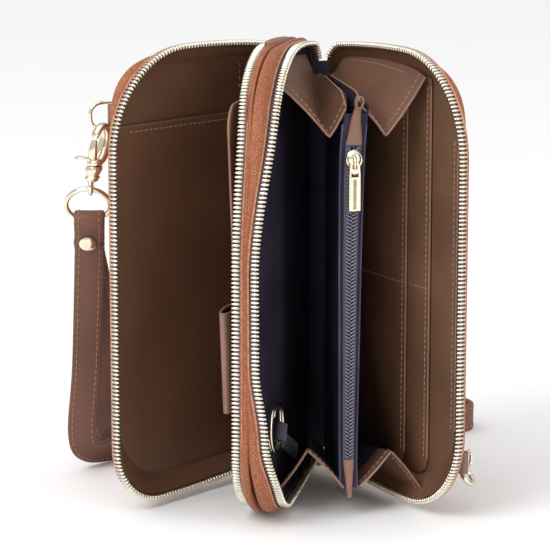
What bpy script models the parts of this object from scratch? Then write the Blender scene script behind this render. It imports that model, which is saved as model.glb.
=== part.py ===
"""Double zip-round phone wallet standing open on one short end.

Three leaves are joined along two spines at the back: a left cover, a divider
in the middle and a right cover. Each of the four zip edges has a leather
tray, a lining, a tape and a row of metal teeth. A zipped coin pocket hangs
between the divider and the right cover on folded gussets, and a wrist strap
hangs from a ring at the left.

Metres, +Z up. The origin is on the floor, under the middle of the divider,
whose front edge points along -Y.
"""

import math

import bmesh
import bpy
from mathutils import Matrix, Vector

MM = 0.001

# Seating gap between touching pieces, and the overrun of every cutter
SEAT = 0.3 * MM
OVERRUN = 1.0 * MM

# The leaves: how far apart the two hinge lines stand and how far each leaf is open
spine_gap = 16.0 * MM
hinge_back = 50.0 * MM
left_open = math.radians(29.1)
right_open = math.radians(44.7)
coin_open = right_open / 2

# The zip edge, measured from the hinge line: its reach, its height and its corners
zip_reach = 105.0 * MM
zip_top = 194.5 * MM
zip_bottom = 3.6 * MM
zip_corner_top = 44.0 * MM
zip_corner_bottom = 30.0 * MM
zip_back = 4.0 * MM
zip_dip = 4.0 * MM
zip_dip_run = 36.0 * MM
corner_steps = 5
edge_steps = 4

# Leather trays
leather = 1.2 * MM
board = 1.2 * MM
lining = 0.7 * MM
cover_depth = 12.0 * MM
tray_corner_top = 24.0 * MM
tray_corner_bottom = 20.0 * MM
lip_back = 3.7 * MM
lip_out = 1.85 * MM
end_swell = 1.5 * MM
pinch = 2.0 * MM
pinch_half = 75.0 * MM
lining_turn = 4.0 * MM
cover_board_inset = 18.5 * MM
divider_board_inset = 8.5 * MM
lining_inset = 2.0 * MM
lining_corner_share = 0.3
seam_room = 0.3 * MM
divider_face = 7.1 * MM
binding = 1.2 * MM
binding_width = 9.6 * MM
binding_front = 52.0 * MM
binding_setback = 2.0 * MM
binding_room = 0.25 * MM

# Zip tape and teeth
tape = 0.5 * MM
tape_depth = 1.4 * MM
tooth_pitch = 4.8 * MM
tooth_width = 1.8 * MM
tooth_thick = 3.0 * MM
tooth_tip = 0.9 * MM
tooth_root = 1.9 * MM
tooth_back = 2.7 * MM
teeth_from_top = 3.0 * MM
teeth_from_bottom = 11.0 * MM

# Spine leather
spine_low = 9.0 * MM
spine_high = zip_top - 4.5 * MM
spine_pull = 12.0 * MM
spine_steps = 8

# Phone pocket, document page and pen loop
phone_back = 8.0 * MM
phone_front = zip_reach - 12.5 * MM
phone_low = 13.8 * MM
phone_high = zip_top - 30.5 * MM
phone_corner = 18.0 * MM
phone_corner_high = 2.0 * MM
panel_thick = 1.2 * MM
page_thick = 1.4 * MM
page_back = 9.0 * MM
page_front = zip_reach - 9.0 * MM
page_low = 14.0 * MM
page_high = zip_top - 18.5 * MM
page_corner_low = 26.0 * MM
page_corner_high = 10.0 * MM
page_lean = math.radians(2.1)
pen_length = 41.0 * MM
pen_low = 51.0 * MM
pen_width = 18.0 * MM
pen_depth = 5.0 * MM
pen_wall = 0.9 * MM
pen_back = zip_reach - 22.0 * MM

# Card pockets on the right cover: the front edge of each layer, the top one first
card_layer = 0.9 * MM
card_back = 10.0 * MM
card_low = 13.8 * MM
card_high = zip_top - 10.1 * MM
card_edges = (zip_reach - 47.0 * MM, zip_reach - 31.6 * MM, zip_reach - 14.0 * MM)
card_corners = (8.0 * MM, 8.0 * MM, 24.0 * MM)

# Coin pocket
coin_wall = 0.9 * MM
coin_back = 16.0 * MM
coin_front = zip_reach - 31.0 * MM
coin_low = 8.0 * MM
coin_high = zip_top - 16.5 * MM
coin_half_back = 1.2 * MM
coin_half_front = 3.0 * MM
coin_tape = 0.6 * MM
coin_tape_half = 2.8 * MM
coin_zip_low = 25.0 * MM
coin_zip_high = coin_high - 19.0 * MM
coil_half = 1.3 * MM
coil_depth = 1.2 * MM
coil_pitch = 4.0 * MM
coil_groove = 0.5 * MM
coil_end = 1.5 * MM
coin_tab_thick = 1.2 * MM
coin_tab_tip = 1.6 * MM
coin_loop_radius = 2.2 * MM
coin_loop_half = 1.3 * MM
coin_slider_half = 2.8 * MM
coin_slider_length = 8.0 * MM
coin_slider_plate = 0.9 * MM
coin_slider_at = coin_zip_high - 7.0 * MM

# Folded gussets between the leaves
gusset_rise = 1.3 * MM
gusset_back = 20.0 * MM
gusset_front = coin_front - 3.0 * MM
gusset_top = coin_high - 1.0 * MM
gusset_bottom = 9.0 * MM
gusset_fold_top = 17.0 * MM
gusset_fold_bottom = 20.0 * MM
gusset_steps = 3

# Main zip sliders
slider_length = 9.6 * MM
slider_half = 2.4 * MM
slider_plate = 0.9 * MM
slider_slit = 0.5 * MM
slider_wall_near = 1.3 * MM
slider_at = 5.0 * MM
bridge_thick = 0.8 * MM
bridge_width = 1.6 * MM
bridge_rise = 1.9 * MM
bridge_length = 5.6 * MM
bridge_setback = 1.5 * MM
pull_half = 2.5 * MM
pull_length = 21.0 * MM
pull_thick = 0.9 * MM
pull_wall = 1.2 * MM
pull_eye = 4.2 * MM

# Key ring on its ribbon
key_wire = 0.7 * MM
key_ring_radius = 9.9 * MM
key_turns = 1.85
key_gap = 0.4 * MM
key_centre = zip_reach - 26.0 * MM
key_height = 40.0 * MM
key_steps = 16
ribbon = 0.6 * MM
ribbon_width = 7.0 * MM
ribbon_length = 46.0 * MM
ribbon_slope = math.radians(26)

# Side tabs and D rings
tab_thick = 1.0 * MM
tab_height = 11.0 * MM
tab_length = 13.0 * MM
dee_wire = 1.1 * MM
dee_bar = 15.0 * MM
dee_reach = 13.0 * MM
dee_corner = 4.0 * MM
left_bar_reach = zip_reach - 15.8 * MM
left_bar_height = zip_top - 24.0 * MM
right_bar_reach = zip_reach - 20.0 * MM
right_bar_height = 22.0 * MM
left_dee_swing = math.radians(-28)
right_dee_swing = math.radians(143)
link_radius = 5.4 * MM
link_wire = 1.0 * MM
link_along = 7.0 * MM

# Clasp, its swivel and the strap ring
hook_along = 7.0 * MM
hook_half = 5.2 * MM
hook_wall = 2.6 * MM
hook_thick = 3.2 * MM
hook_length = 16.8 * MM
hook_tip = 6.6 * MM
hook_base = 2.0 * MM
hook_throat = 4.6 * MM
hook_chamfer = 2.0 * MM
hook_floor = 1.2 * MM
gate_overlap = 0.4 * MM
nub_thick = 1.0 * MM
nub_foot = 1.6 * MM
gate_thick = 1.5 * MM
gate_nub = 3.8 * MM
swivel_radius = 2.4 * MM
swivel_height = 3.4 * MM
swivel_chamfer = 0.8 * MM
stem_radius = 0.9 * MM
stem_height = 2.6 * MM
eye_radius = 3.6 * MM
eye_wire = 0.9 * MM
strap_ring_radius = 8.9 * MM
strap_ring_wire = 1.1 * MM
strap_ring_hang = math.radians(60)
strap_ring_tilt = math.radians(33.6)

# Wrist strap: where it bends on its way round behind the wallet
strap_width = 12.6 * MM
strap_thick = 2.4 * MM
strap_facing = math.radians(13)
strap_slope = Vector((-0.093, 0.399, -0.912))
fold_half = 3.1 * MM
fold_rise = 2.6 * MM
fold_foot = 0.5 * MM
meet_drop = 4.8 * MM
rivet_drop = 8.9 * MM
part_drop = 15.0 * MM
rivet_head = 3.6 * MM
rivet_dome = 0.9 * MM
rivet_shank = 1.3 * MM
rivet_hole = 1.6 * MM
rivet_ease = 0.2 * MM

# The strap's route: down to the floor, along it behind the wallet, round and back up
front_leg = (
    (-84.0 * MM, 13.0 * MM, 52.0 * MM),
    (-88.0 * MM, 27.0 * MM, 19.0 * MM),
    (-86.0 * MM, 38.0 * MM, 9.0 * MM),
    (-79.0 * MM, 55.0 * MM, 6.6 * MM),
)
floor_run = (
    (-60.0 * MM, 76.0 * MM),
    (-20.0 * MM, 98.0 * MM),
    (25.0 * MM, 113.0 * MM),
    (50.0 * MM, 120.0 * MM),
    (60.0 * MM, 127.0 * MM),
    (62.0 * MM, 135.0 * MM),
    (55.0 * MM, 142.0 * MM),
    (40.0 * MM, 142.0 * MM),
    (0.0, 132.0 * MM),
    (-50.0 * MM, 112.0 * MM),
    (-88.0 * MM, 86.0 * MM),
)
back_leg = (
    (-104.0 * MM, 66.0 * MM, 7.2 * MM),
    (-107.0 * MM, 53.0 * MM, 13.0 * MM),
    (-102.0 * MM, 40.0 * MM, 30.0 * MM),
    (-91.0 * MM, 18.0 * MM, 66.0 * MM),
)
# The way the strap's width points where it rolls over onto its edge
leg_roll = (Vector((0.97, 0.22, 0.1)), Vector((0.75, 0.2, 0.62)), Vector((0.3, 0.1, 0.95)))

# Colours, roughness and metallic value of each finish
FINISHES = {
    "pebbled_leather": ((0.42, 0.17, 0.075), 0.55, 0.0),
    "smooth_leather": ((0.105, 0.045, 0.026), 0.42, 0.0),
    "strap_leather": ((0.17, 0.075, 0.055), 0.45, 0.0),
    "board": ((0.30, 0.26, 0.20), 0.9, 0.0),
    "navy_cloth": ((0.035, 0.035, 0.055), 0.8, 0.0),
    "zip_tape": ((0.09, 0.08, 0.10), 0.85, 0.0),
    "pale_gold": ((0.83, 0.77, 0.62), 0.25, 1.0),
}


# Scene helpers

def clear_scene():
    for item in list(bpy.data.objects):
        bpy.data.objects.remove(item, do_unlink=True)


def pivot(name, location, turn=0.0, parent=None):
    """An empty that carries the pieces of one leaf or one moving piece."""
    item = bpy.data.objects.new(name, None)
    bpy.context.collection.objects.link(item)
    item.parent = parent
    item.location = location
    item.rotation_euler = (0.0, 0.0, turn)
    return item


def paint(item, finish):
    colour, roughness, metallic = FINISHES[finish]
    material = bpy.data.materials.new(item.name + "_" + finish)
    material.use_nodes = True
    shader = material.node_tree.nodes["Principled BSDF"]
    shader.inputs["Base Color"].default_value = (*colour, 1.0)
    shader.inputs["Roughness"].default_value = roughness
    shader.inputs["Metallic"].default_value = metallic
    item.data.materials.append(material)


def piece(name, mesh, finish, parent=None, smooth=None):
    """One sub-part from a bmesh, painted and hung on its parent."""
    bmesh.ops.recalc_face_normals(mesh, faces=mesh.faces)
    if mesh.calc_volume(signed=True) < 0:
        bmesh.ops.reverse_faces(mesh, faces=mesh.faces)
    data = bpy.data.meshes.new(name)
    mesh.to_mesh(data)
    mesh.free()
    item = bpy.data.objects.new(name, data)
    bpy.context.collection.objects.link(item)
    item.parent = parent
    if smooth is not None:
        data.shade_smooth()
        data.set_sharp_from_angle(angle=math.radians(smooth))
    if finish:
        paint(item, finish)
    return item


def guide(item):
    """A cutter or an addition that only shapes another piece."""
    item.hide_render = True
    item.display_type = "WIRE"
    return item


def combine(item, other, operation):
    change = item.modifiers.new(operation.lower() + "_" + other.name, "BOOLEAN")
    change.operation = operation
    change.solver = "EXACT"
    change.object = guide(other)


# Mesh helpers

def loft(rings, close_rings=True, cap=True):
    """A skin over rings of equally many points, with both ends closed."""
    mesh = bmesh.new()
    rows = [[mesh.verts.new(point) for point in ring] for ring in rings]
    count = len(rows[0])
    sides = count if close_rings else count - 1
    for row, after in zip(rows, rows[1:]):
        for k in range(sides):
            n = (k + 1) % count
            mesh.faces.new((row[k], row[n], after[n], after[k]))
    if cap:
        mesh.faces.new(rows[0])
        mesh.faces.new(list(reversed(rows[-1])))
    return mesh


def prism(outline, low, high, place):
    """A flat outline drawn out from low to high; place turns (a, b, c) into a point."""
    return loft([[place(a, b, c) for a, b in outline] for c in (low, high)])


def tube(points, radius, sides, closed):
    """A round wire along points, its section carried along without twist."""
    count = len(points)
    rings = []
    normal = None
    for k, point in enumerate(points):
        before = points[k - 1] if (closed or k > 0) else point
        after = points[(k + 1) % count] if (closed or k < count - 1) else point
        tangent = (after - before).normalized()
        if normal is None:
            normal = tangent.orthogonal().normalized()
        normal = (normal - tangent * normal.dot(tangent)).normalized()
        side = tangent.cross(normal)
        turns = [2 * math.pi * n / sides for n in range(sides)]
        rings.append([point + (normal * math.cos(t) + side * math.sin(t)) * radius for t in turns])
    if not closed:
        return loft(rings)
    mesh = bmesh.new()
    rows = [[mesh.verts.new(point) for point in ring] for ring in rings]
    for k in range(count):
        here = rows[k]
        there = rows[(k + 1) % count]
        shift = 0
        if k == count - 1:
            shift = min(range(sides), key=lambda s: (there[s].co - here[0].co).length)
        for n in range(sides):
            m = (n + 1) % sides
            mesh.faces.new((here[n], here[m], there[(m + shift) % sides], there[(n + shift) % sides]))
    return mesh


def arc(centre_a, centre_b, radius, start, end, steps):
    """Points on an arc, both ends included; angles in degrees from +a towards +b."""
    angles = [math.radians(start + (end - start) * k / steps) for k in range(steps + 1)]
    return [(centre_a + radius * math.cos(t), centre_b + radius * math.sin(t)) for t in angles]


def leaf_point(side):
    """Leaf coordinates: u from the hinge line to the front, v outwards, z up."""
    return lambda u, v, z: Vector((side * v, -u, z))


# The zip edge: a U from the spine at the top, round the front, to the spine at the bottom

def edge_path(grow, corner_share, dip_share, swell_share=0.0, back=zip_back, finer=1):
    reach = zip_reach + grow
    top = zip_top + grow + end_swell * swell_share
    low = zip_bottom - grow - end_swell * swell_share
    corners, edges = finer * corner_steps, finer * edge_steps
    r_top = zip_corner_top + (tray_corner_top - zip_corner_top) * corner_share
    r_low = zip_corner_bottom + (tray_corner_bottom - zip_corner_bottom) * corner_share
    dip = zip_dip * dip_share
    path = [(back, top - dip), (back + zip_dip_run, top)]
    path += arc(reach - r_top, top - r_top, r_top, 90, 0, corners)
    first, last = top - r_top, low + r_low
    path += [(reach, first + (last - first) * k / edges) for k in range(1, edges)]
    path += arc(reach - r_low, low + r_low, r_low, 0, -90, corners)
    path += [(back + zip_dip_run, low), (back, low + dip)]
    return path


def pinch_at(u, z):
    """How far the soft divider's zip edge is drawn in at a point, 1 at mid height."""
    middle = (zip_top + zip_bottom) / 2
    share = min(1.0, abs(z - middle) / pinch_half)
    forward = max(0.0, min(1.0, u / zip_reach))
    return (1 + math.cos(math.pi * share)) / 2 * forward**4


def offset_profile(profile, distance):
    """The profile moved inwards, towards the middle of the leaf and the zip plane."""
    moved = []
    for k, (grow, depth) in enumerate(profile):
        before = profile[max(k - 1, 0)]
        after = profile[min(k + 1, len(profile) - 1)]
        along = Vector((after[0] - before[0], after[1] - before[1])).normalized()
        inward = Vector((-along[1], along[0]))
        moved.append((grow + inward[0] * distance, depth + inward[1] * distance))
    return moved


def fan(mesh, ring):
    """Triangles from the middle of a flat ring to its sides."""
    count = len(ring)
    middle = mesh.verts.new(sum((vert.co for vert in ring), Vector()) / count)
    for n in range(count):
        mesh.faces.new((ring[n], ring[(n + 1) % count], middle))


def tray(name, profile, shares, thick, pinched, place, finish, parent):
    """A pan with one open side at the spine: a flat panel with a rim along the zip edge.

    The profile runs from the lip to the panel's flat, as (grow, depth); shares give
    each of its points its corner, dip, pinch and swell shares.
    """
    inner = offset_profile(profile, thick)
    inner[0] = (profile[0][0] - thick, profile[0][1])
    inner[-1] = (profile[-1][0] - thick, profile[-1][1] - thick)
    rings = []
    stations = list(zip(profile, shares)) + list(zip(reversed(inner), reversed(shares)))
    for (grow, depth), (corner, dip, squeeze, swell) in stations:
        path = edge_path(grow, corner, dip, swell)
        rings.append([(u, depth + pinched * squeeze * pinch_at(u, z), z) for u, z in path])
    mesh = bmesh.new()
    rows = [[mesh.verts.new(place(*point)) for point in ring] for ring in rings]
    last = len(rows) - 1
    flat = len(profile) - 1
    for k, row in enumerate(rows):
        after = rows[(k + 1) % len(rows)]
        if k == flat:
            fan(mesh, row)
            fan(mesh, after)
            continue
        for n in range(len(row) - 1):
            mesh.faces.new((row[n], row[n + 1], after[n + 1], after[n]))
    for n in (0, -1):
        for k in range(flat):
            mesh.faces.new((rows[k][n], rows[k + 1][n], rows[last - k - 1][n], rows[last - k][n]))
    mesh.faces.new((rows[flat][0], rows[flat][-1], rows[flat + 1][-1], rows[flat + 1][0]))
    return piece(name, mesh, finish, parent, smooth=40)


def flat_panel(name, outline, low, high, side, finish, parent):
    """A flat panel whose outline is drawn in u and z, between two depths."""
    place = leaf_point(side)
    mesh = prism(outline, low, high, lambda u, z, v: place(u, v, z))
    return piece(name, mesh, finish, parent)


def rounded_front(back, front, low, high, corner_low, corner_high, steps=5):
    """A panel outline with square corners at the spine and round ones in front."""
    outline = [(back, high)]
    outline += arc(front - corner_high, high - corner_high, corner_high, 90, 0, steps)
    outline += arc(front - corner_low, low + corner_low, corner_low, 0, -90, steps)
    outline.append((back, low))
    return outline


def tape_strip(name, pinched, side, parent):
    """The woven tape that holds the teeth, sewn inside the leather lip."""
    place = leaf_point(side)
    near, far = tooth_back + SEAT, tooth_back + SEAT + tape_depth
    half = tape / 2
    rings = []
    for grow, depth in ((half, near), (half, far), (-half, far), (-half, near)):
        path = edge_path(grow, 0.0, 1.0)
        ring = [place(u, depth + pinched * pinch_at(u, z), z) for u, z in path]
        rings.append(ring)
    sections = [list(section) for section in zip(*rings)]
    return piece(name, loft(sections), "zip_tape", parent)


def walk(path):
    """A function that gives the point and the outward normal at a distance along a path."""
    points = [Vector(point) for point in path]
    marks = [0.0]
    for before, after in zip(points, points[1:]):
        marks.append(marks[-1] + (after - before).length)

    def at(distance):
        k = 0
        while k < len(points) - 2 and marks[k + 1] < distance:
            k += 1
        along = points[k + 1] - points[k]
        point = points[k] + along * ((distance - marks[k]) / (marks[k + 1] - marks[k]))
        along.normalize()
        return point, Vector((along[1], -along[0]))

    return at, marks[-1]


def teeth_row(name, shifted, pinched, side, parent):
    """Metal teeth on their corded edge: one comb that follows the zip edge.

    Its facing row is shifted by half a pitch, so that the two interlock when closed.
    On the divider, whose rows carry the sliders, the bare cord runs on to the spine.
    """
    place = leaf_point(side)
    at, length = walk(edge_path(0.0, 0.0, 1.0, finer=4))
    half = tooth_thick / 2
    start = teeth_from_top + (tooth_pitch / 2 if shifted else 0.0)
    count = int((length - teeth_from_bottom - start) / tooth_pitch)
    mesh = bmesh.new()

    def pair(distance, depth):
        point, normal = at(distance)
        depth += pinched * pinch_at(point[0], point[1])
        ends = [point + normal * half, point - normal * half]
        return [mesh.verts.new(place(end[0], depth, end[1])) for end in ends]

    bases, tops = [], []
    for k in range(count):
        here = start + k * tooth_pitch
        bases.append(pair(here, tooth_back))
        tops.append([
            pair(here, tooth_root),
            pair(here, -tooth_tip),
            pair(here + tooth_width, -tooth_tip),
            pair(here + tooth_width, tooth_root),
        ])
    end = start + count * tooth_pitch
    ends = [end, length] if pinched else [end]
    for distance in ends:
        bases.append(pair(distance, tooth_back))
        tops.append([pair(distance, tooth_root)])
    for k in range(len(bases) - 1):
        run = tops[k] + [tops[k + 1][0]]
        for before, after in zip(run, run[1:]):
            mesh.faces.new((before[0], before[1], after[1], after[0]))
        mesh.faces.new((bases[k][1], bases[k][0], bases[k + 1][0], bases[k + 1][1]))
        for edge in (0, 1):
            mesh.faces.new([bases[k][edge]] + [step[edge] for step in run] + [bases[k + 1][edge]])
    mesh.faces.new((bases[0][0], bases[0][1], tops[0][0][1], tops[0][0][0]))
    mesh.faces.new((bases[-1][0], bases[-1][1], tops[-1][0][1], tops[-1][0][0]))
    return piece(name, mesh, "pale_gold", parent)


# Trays: profile points from the lip to the flat, with their corner, dip, pinch and swell shares

cover_profile = (
    (lip_out, lip_back),
    (lip_out + 0.25 * MM, lip_back + 1.2 * MM),
    (-1.0 * MM, cover_depth - 4.7 * MM),
    (-6.0 * MM, cover_depth - 2.3 * MM),
    (-12.0 * MM, cover_depth - 0.5 * MM),
    (-18.0 * MM, cover_depth),
)
cover_shares = (
    (0.1, 1.0, 1.0, 0.3),
    (0.5, 0.6, 0.5, 1.0),
    (1.0, 0.0, 0.0, 0.8),
    (1.0, 0.0, 0.0, 0.4),
    (1.0, 0.0, 0.0, 0.0),
    (1.0, 0.0, 0.0, 0.0),
)
divider_profile = (
    (lip_out, lip_back),
    (lip_out + 0.25 * MM, lip_back + 1.2 * MM),
    (lip_out, divider_face + 0.2 * MM),
    (0.9 * MM, spine_gap / 2 - seam_room),
    (-3.5 * MM, spine_gap / 2 - seam_room),
    (-7.0 * MM, divider_face),
)
divider_shares = (
    (0.1, 1.0, 1.0, 0.3),
    (0.5, 0.6, 0.6, 1.0),
    (0.9, 0.2, 0.25, 0.9),
    (1.0, 0.0, 0.0, 0.7),
    (1.0, 0.0, 0.0, 0.3),
    (1.0, 0.0, 0.0, 0.0),
)
lining_shares = (
    (1.0, 0.0, 0.0, 0.8),
    (1.0, 0.0, 0.0, 0.4),
    (1.0, 0.0, 0.0, 0.0),
)
cover_lining_face = cover_depth - leather - board - lining - 2 * SEAT
divider_lining_face = divider_face - leather - lining - SEAT


def cover_lining_profile():
    """The lining follows the inside of the leather rim, then lies flat over the board."""
    follow = offset_profile(cover_profile, leather + SEAT)
    flat = cover_lining_face + lining
    return (follow[2], follow[3], (cover_profile[3][0] - lining_turn, flat))


def build_zip_edge(prefix, cover, shifted, side, parent):
    """Leather shell, tape and teeth of one zip edge."""
    profile = cover_profile if cover else divider_profile
    shares = cover_shares if cover else divider_shares
    pinched = 0.0 if cover else pinch
    place = leaf_point(side)
    tray(prefix + "_shell", profile, shares, leather, pinched, place, "pebbled_leather", parent)
    tape_strip(prefix + "_tape", pinched, side, parent)
    teeth_row(prefix + "_teeth", shifted, pinched, side, parent)


# Leaves

def build_spine(name, side, turn):
    """The leather strip that joins a cover's back edge to the divider's."""
    hinge = Vector((side * spine_gap / 2, hinge_back))
    forward = Vector((math.sin(turn), -math.cos(turn)))
    outward = Vector((side * math.cos(turn), side * math.sin(turn)))
    start = hinge + forward * (zip_back - SEAT) + outward * (cover_depth - leather / 2)
    end = Vector((side * (spine_gap / 2 - divider_face + leather / 2), hinge_back - zip_back + SEAT))
    controls = (start, start - forward * spine_pull, end + Vector((0.0, spine_pull)), end)
    rings = []
    for k in range(spine_steps + 1):
        t = k / spine_steps
        weights = ((1 - t) ** 3, 3 * t * (1 - t) ** 2, 3 * t * t * (1 - t), t**3)
        point = sum((c * w for c, w in zip(controls, weights)), Vector((0.0, 0.0)))
        slopes = (-3 * (1 - t) ** 2, 3 * (1 - t) ** 2 - 6 * t * (1 - t), 6 * t * (1 - t) - 3 * t * t, 3 * t * t)
        along = sum((c * w for c, w in zip(controls, slopes)), Vector((0.0, 0.0))).normalized()
        across = Vector((-along[1], along[0])) * leather / 2
        a, b = point + across, point - across
        rings.append([
            Vector((a[0], a[1], spine_low)),
            Vector((b[0], b[1], spine_low)),
            Vector((b[0], b[1], spine_high)),
            Vector((a[0], a[1], spine_high)),
        ])
    return piece(name, loft(rings), "pebbled_leather", None, smooth=30)


def build_binding(name):
    """A smooth leather strip along the top of the divider, over the seam of its two trays."""
    half = binding_width / 2
    back = hinge_back - zip_back - binding_setback
    front = hinge_back - binding_front
    low = zip_top + lip_out + end_swell + SEAT + binding_room
    outline = [(-half, back), (half, back), (half, front), (half / 2, front - half)]
    outline += [(-half / 2, front - half), (-half, front)]
    mesh = prism(outline, low, low + binding, lambda x, y, z: Vector((x, y, z)))
    piece(name, mesh, "smooth_leather")


def build_divider(left_half, right_half, middle):
    build_zip_edge("divider_left", False, True, 1, left_half)
    build_zip_edge("divider_right", False, False, -1, right_half)
    outline = edge_path(-divider_board_inset, 1.0, 0.0)
    flat_panel("divider_board", outline, -board / 2, board / 2, 1, "board", middle)
    outline = edge_path(-lining_inset, lining_corner_share, 0.0)
    face = divider_lining_face
    flat_panel("divider_left_lining", outline, face, face + lining, 1, "smooth_leather", left_half)
    flat_panel("divider_right_lining", outline, face, face + lining, -1, "navy_cloth", right_half)
    build_binding("divider_top_strip")


def build_cover(prefix, shifted, side, leaf):
    build_zip_edge(prefix, True, shifted, side, leaf)
    place = leaf_point(side)
    profile = cover_lining_profile()
    tray(prefix + "_lining", profile, lining_shares, lining, 0.0, place, "smooth_leather", leaf)
    outline = edge_path(-cover_board_inset, 1.0, 0.0)
    outer = cover_depth - leather - SEAT
    flat_panel(prefix + "_board", outline, outer - board, outer, side, "board", leaf)


def build_page(left_half):
    """The leaning document page and the pen loop on its face."""
    page = pivot("page_leaf", (divider_lining_face - SEAT, 0.0, page_low), parent=left_half)
    page.rotation_euler = (0.0, -page_lean, 0.0)
    high = page_high - page_low
    outline = rounded_front(page_back, page_front, 0.0, high, page_corner_low, page_corner_high)
    flat_panel("document_page", outline, -page_thick, 0.0, 1, "smooth_leather", page)
    middle = pen_back + pen_width / 2
    depth = -page_thick - SEAT - pen_depth / 2

    def oval(inset):
        return [
            ((pen_width / 2 - inset) * math.cos(t), (pen_depth / 2 - inset) * math.sin(t))
            for t in (2 * math.pi * k / 16 for k in range(16))
        ]

    low = pen_low - page_low
    rings = []
    for inset, height in ((0.0, low), (0.0, low + pen_length), (pen_wall, low + pen_length), (pen_wall, low)):
        rings.append([Vector((depth + b, -(middle + a), height)) for a, b in oval(inset)])
    rings.append(rings[0])
    mesh = loft(rings, cap=False)
    bmesh.ops.remove_doubles(mesh, verts=mesh.verts, dist=SEAT / 10)
    piece("pen_loop", mesh, "strap_leather", page, smooth=50)


def wrap_outline(bar_a, bar_b, inner, thick, length, steps=8):
    """Section of a strap that lies flat, then turns back round a bar at (a, b)."""
    outer = inner + thick
    outline = [(bar_a - length, bar_b - outer)]
    outline += arc(bar_a, bar_b, outer, -90, 150, steps)
    outline += arc(bar_a, bar_b, inner, 150, -90, steps)
    outline.append((bar_a - length, bar_b - inner))
    return outline


def build_key_ring(right_half):
    """A split ring held against the divider's lining by a folded ribbon."""
    bundle = key_wire * 2 + key_gap
    depth = divider_lining_face - SEAT - ribbon - SEAT - (bundle / 2 + key_wire)
    place = leaf_point(-1)
    points = []
    steps = int(key_steps * key_turns)
    for k in range(steps + 1):
        t = 2 * math.pi * k / key_steps + math.radians(40)
        rise = (k / steps - 0.5) * bundle
        u = key_centre + key_ring_radius * math.cos(t)
        z = key_height + key_ring_radius * math.sin(t)
        points.append(place(u, depth + rise, z))
    piece("key_ring", tube(points, key_wire, 6, False), "pale_gold", right_half, smooth=60)
    along = Vector((math.cos(ribbon_slope), math.sin(ribbon_slope)))
    bar = Vector((key_centre, key_height)) - along * key_ring_radius
    inner = bundle / 2 + key_wire + SEAT
    section = wrap_outline(0.0, 0.0, inner, ribbon, ribbon_length)

    def ribbon_point(a, b, c):
        u = bar[0] + along[0] * a - along[1] * c
        z = bar[1] + along[1] * a + along[0] * c
        return place(u, depth - b, z)

    mesh = prism(section, -ribbon_width / 2, ribbon_width / 2, ribbon_point)
    piece("key_ribbon", mesh, "navy_cloth", right_half, smooth=50)


def build_cards(leaf):
    """Three stepped card pockets, the one nearest the spine on top."""
    outer = cover_lining_face - SEAT
    for k in (2, 1, 0):
        corner = card_corners[k]
        outline = rounded_front(card_back, card_edges[k], card_low, card_high, corner, corner)
        name = "card_pocket_" + str(k + 1)
        flat_panel(name, outline, outer - card_layer, outer, 1, "smooth_leather", leaf)
        outer -= card_layer + SEAT


def block(low, high, side=1):
    """A box in leaf coordinates (u, v, z)."""
    place = leaf_point(side)
    outline = [(low[0], low[1]), (high[0], low[1]), (high[0], high[1]), (low[0], high[1])]
    return prism(outline, low[2], high[2], place)


def build_coin_pocket(coin):
    """Two leather panels, closed in front by a coil zip between two tabs."""
    for name, side in (("coin_panel_left", -1), ("coin_panel_right", 1)):
        back, front = coin_half_back, coin_half_front
        outline = [(coin_back, back), (coin_front, front)]
        outline += [(coin_front, front - coin_wall), (coin_back, back - coin_wall)]
        mesh = prism(outline, coin_low, coin_high, leaf_point(side))
        piece(name, mesh, "smooth_leather", coin)
    face = coin_front + SEAT
    half = coin_tape_half
    front = face + coin_tape
    mesh = block((face, -half, coin_zip_low), (front, half, coin_zip_high))
    piece("coin_tape", mesh, "zip_tape", coin)
    tip = coin_tab_tip
    tab = face + coin_tab_thick
    for name, near, far in (
        ("coin_tab_top", coin_zip_high + SEAT, coin_high),
        ("coin_tab_bottom", coin_zip_low - SEAT, coin_low),
    ):
        outline = [(-half, far), (half, far), (tip, near), (-tip, near)]
        mesh = prism(outline, face, tab, lambda v, z, u: Vector((v, -u, z)))
        item = piece(name, mesh, "smooth_leather", coin)
        if name == "coin_tab_top":
            loop = arc(tab + coin_loop_radius * 0.6, coin_high - coin_loop_radius, coin_loop_radius, 0, 315, 7)
            ring = prism(loop, -coin_loop_half, coin_loop_half, lambda u, z, v: Vector((v, -u, z)))
            extra = piece("loop_outside", ring, None, coin)
            combine(item, extra, "UNION")
            hole = arc(tab + coin_loop_radius * 0.6, coin_high - coin_loop_radius, coin_loop_radius * 0.5, 0, 315, 7)
            reach = coin_loop_half + OVERRUN
            bore = prism(hole, -reach, reach, lambda u, z, v: Vector((v, -u, z)))
            combine(item, piece("loop_bore", bore, None, coin), "DIFFERENCE")
    build_coil(coin, front + SEAT)


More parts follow.
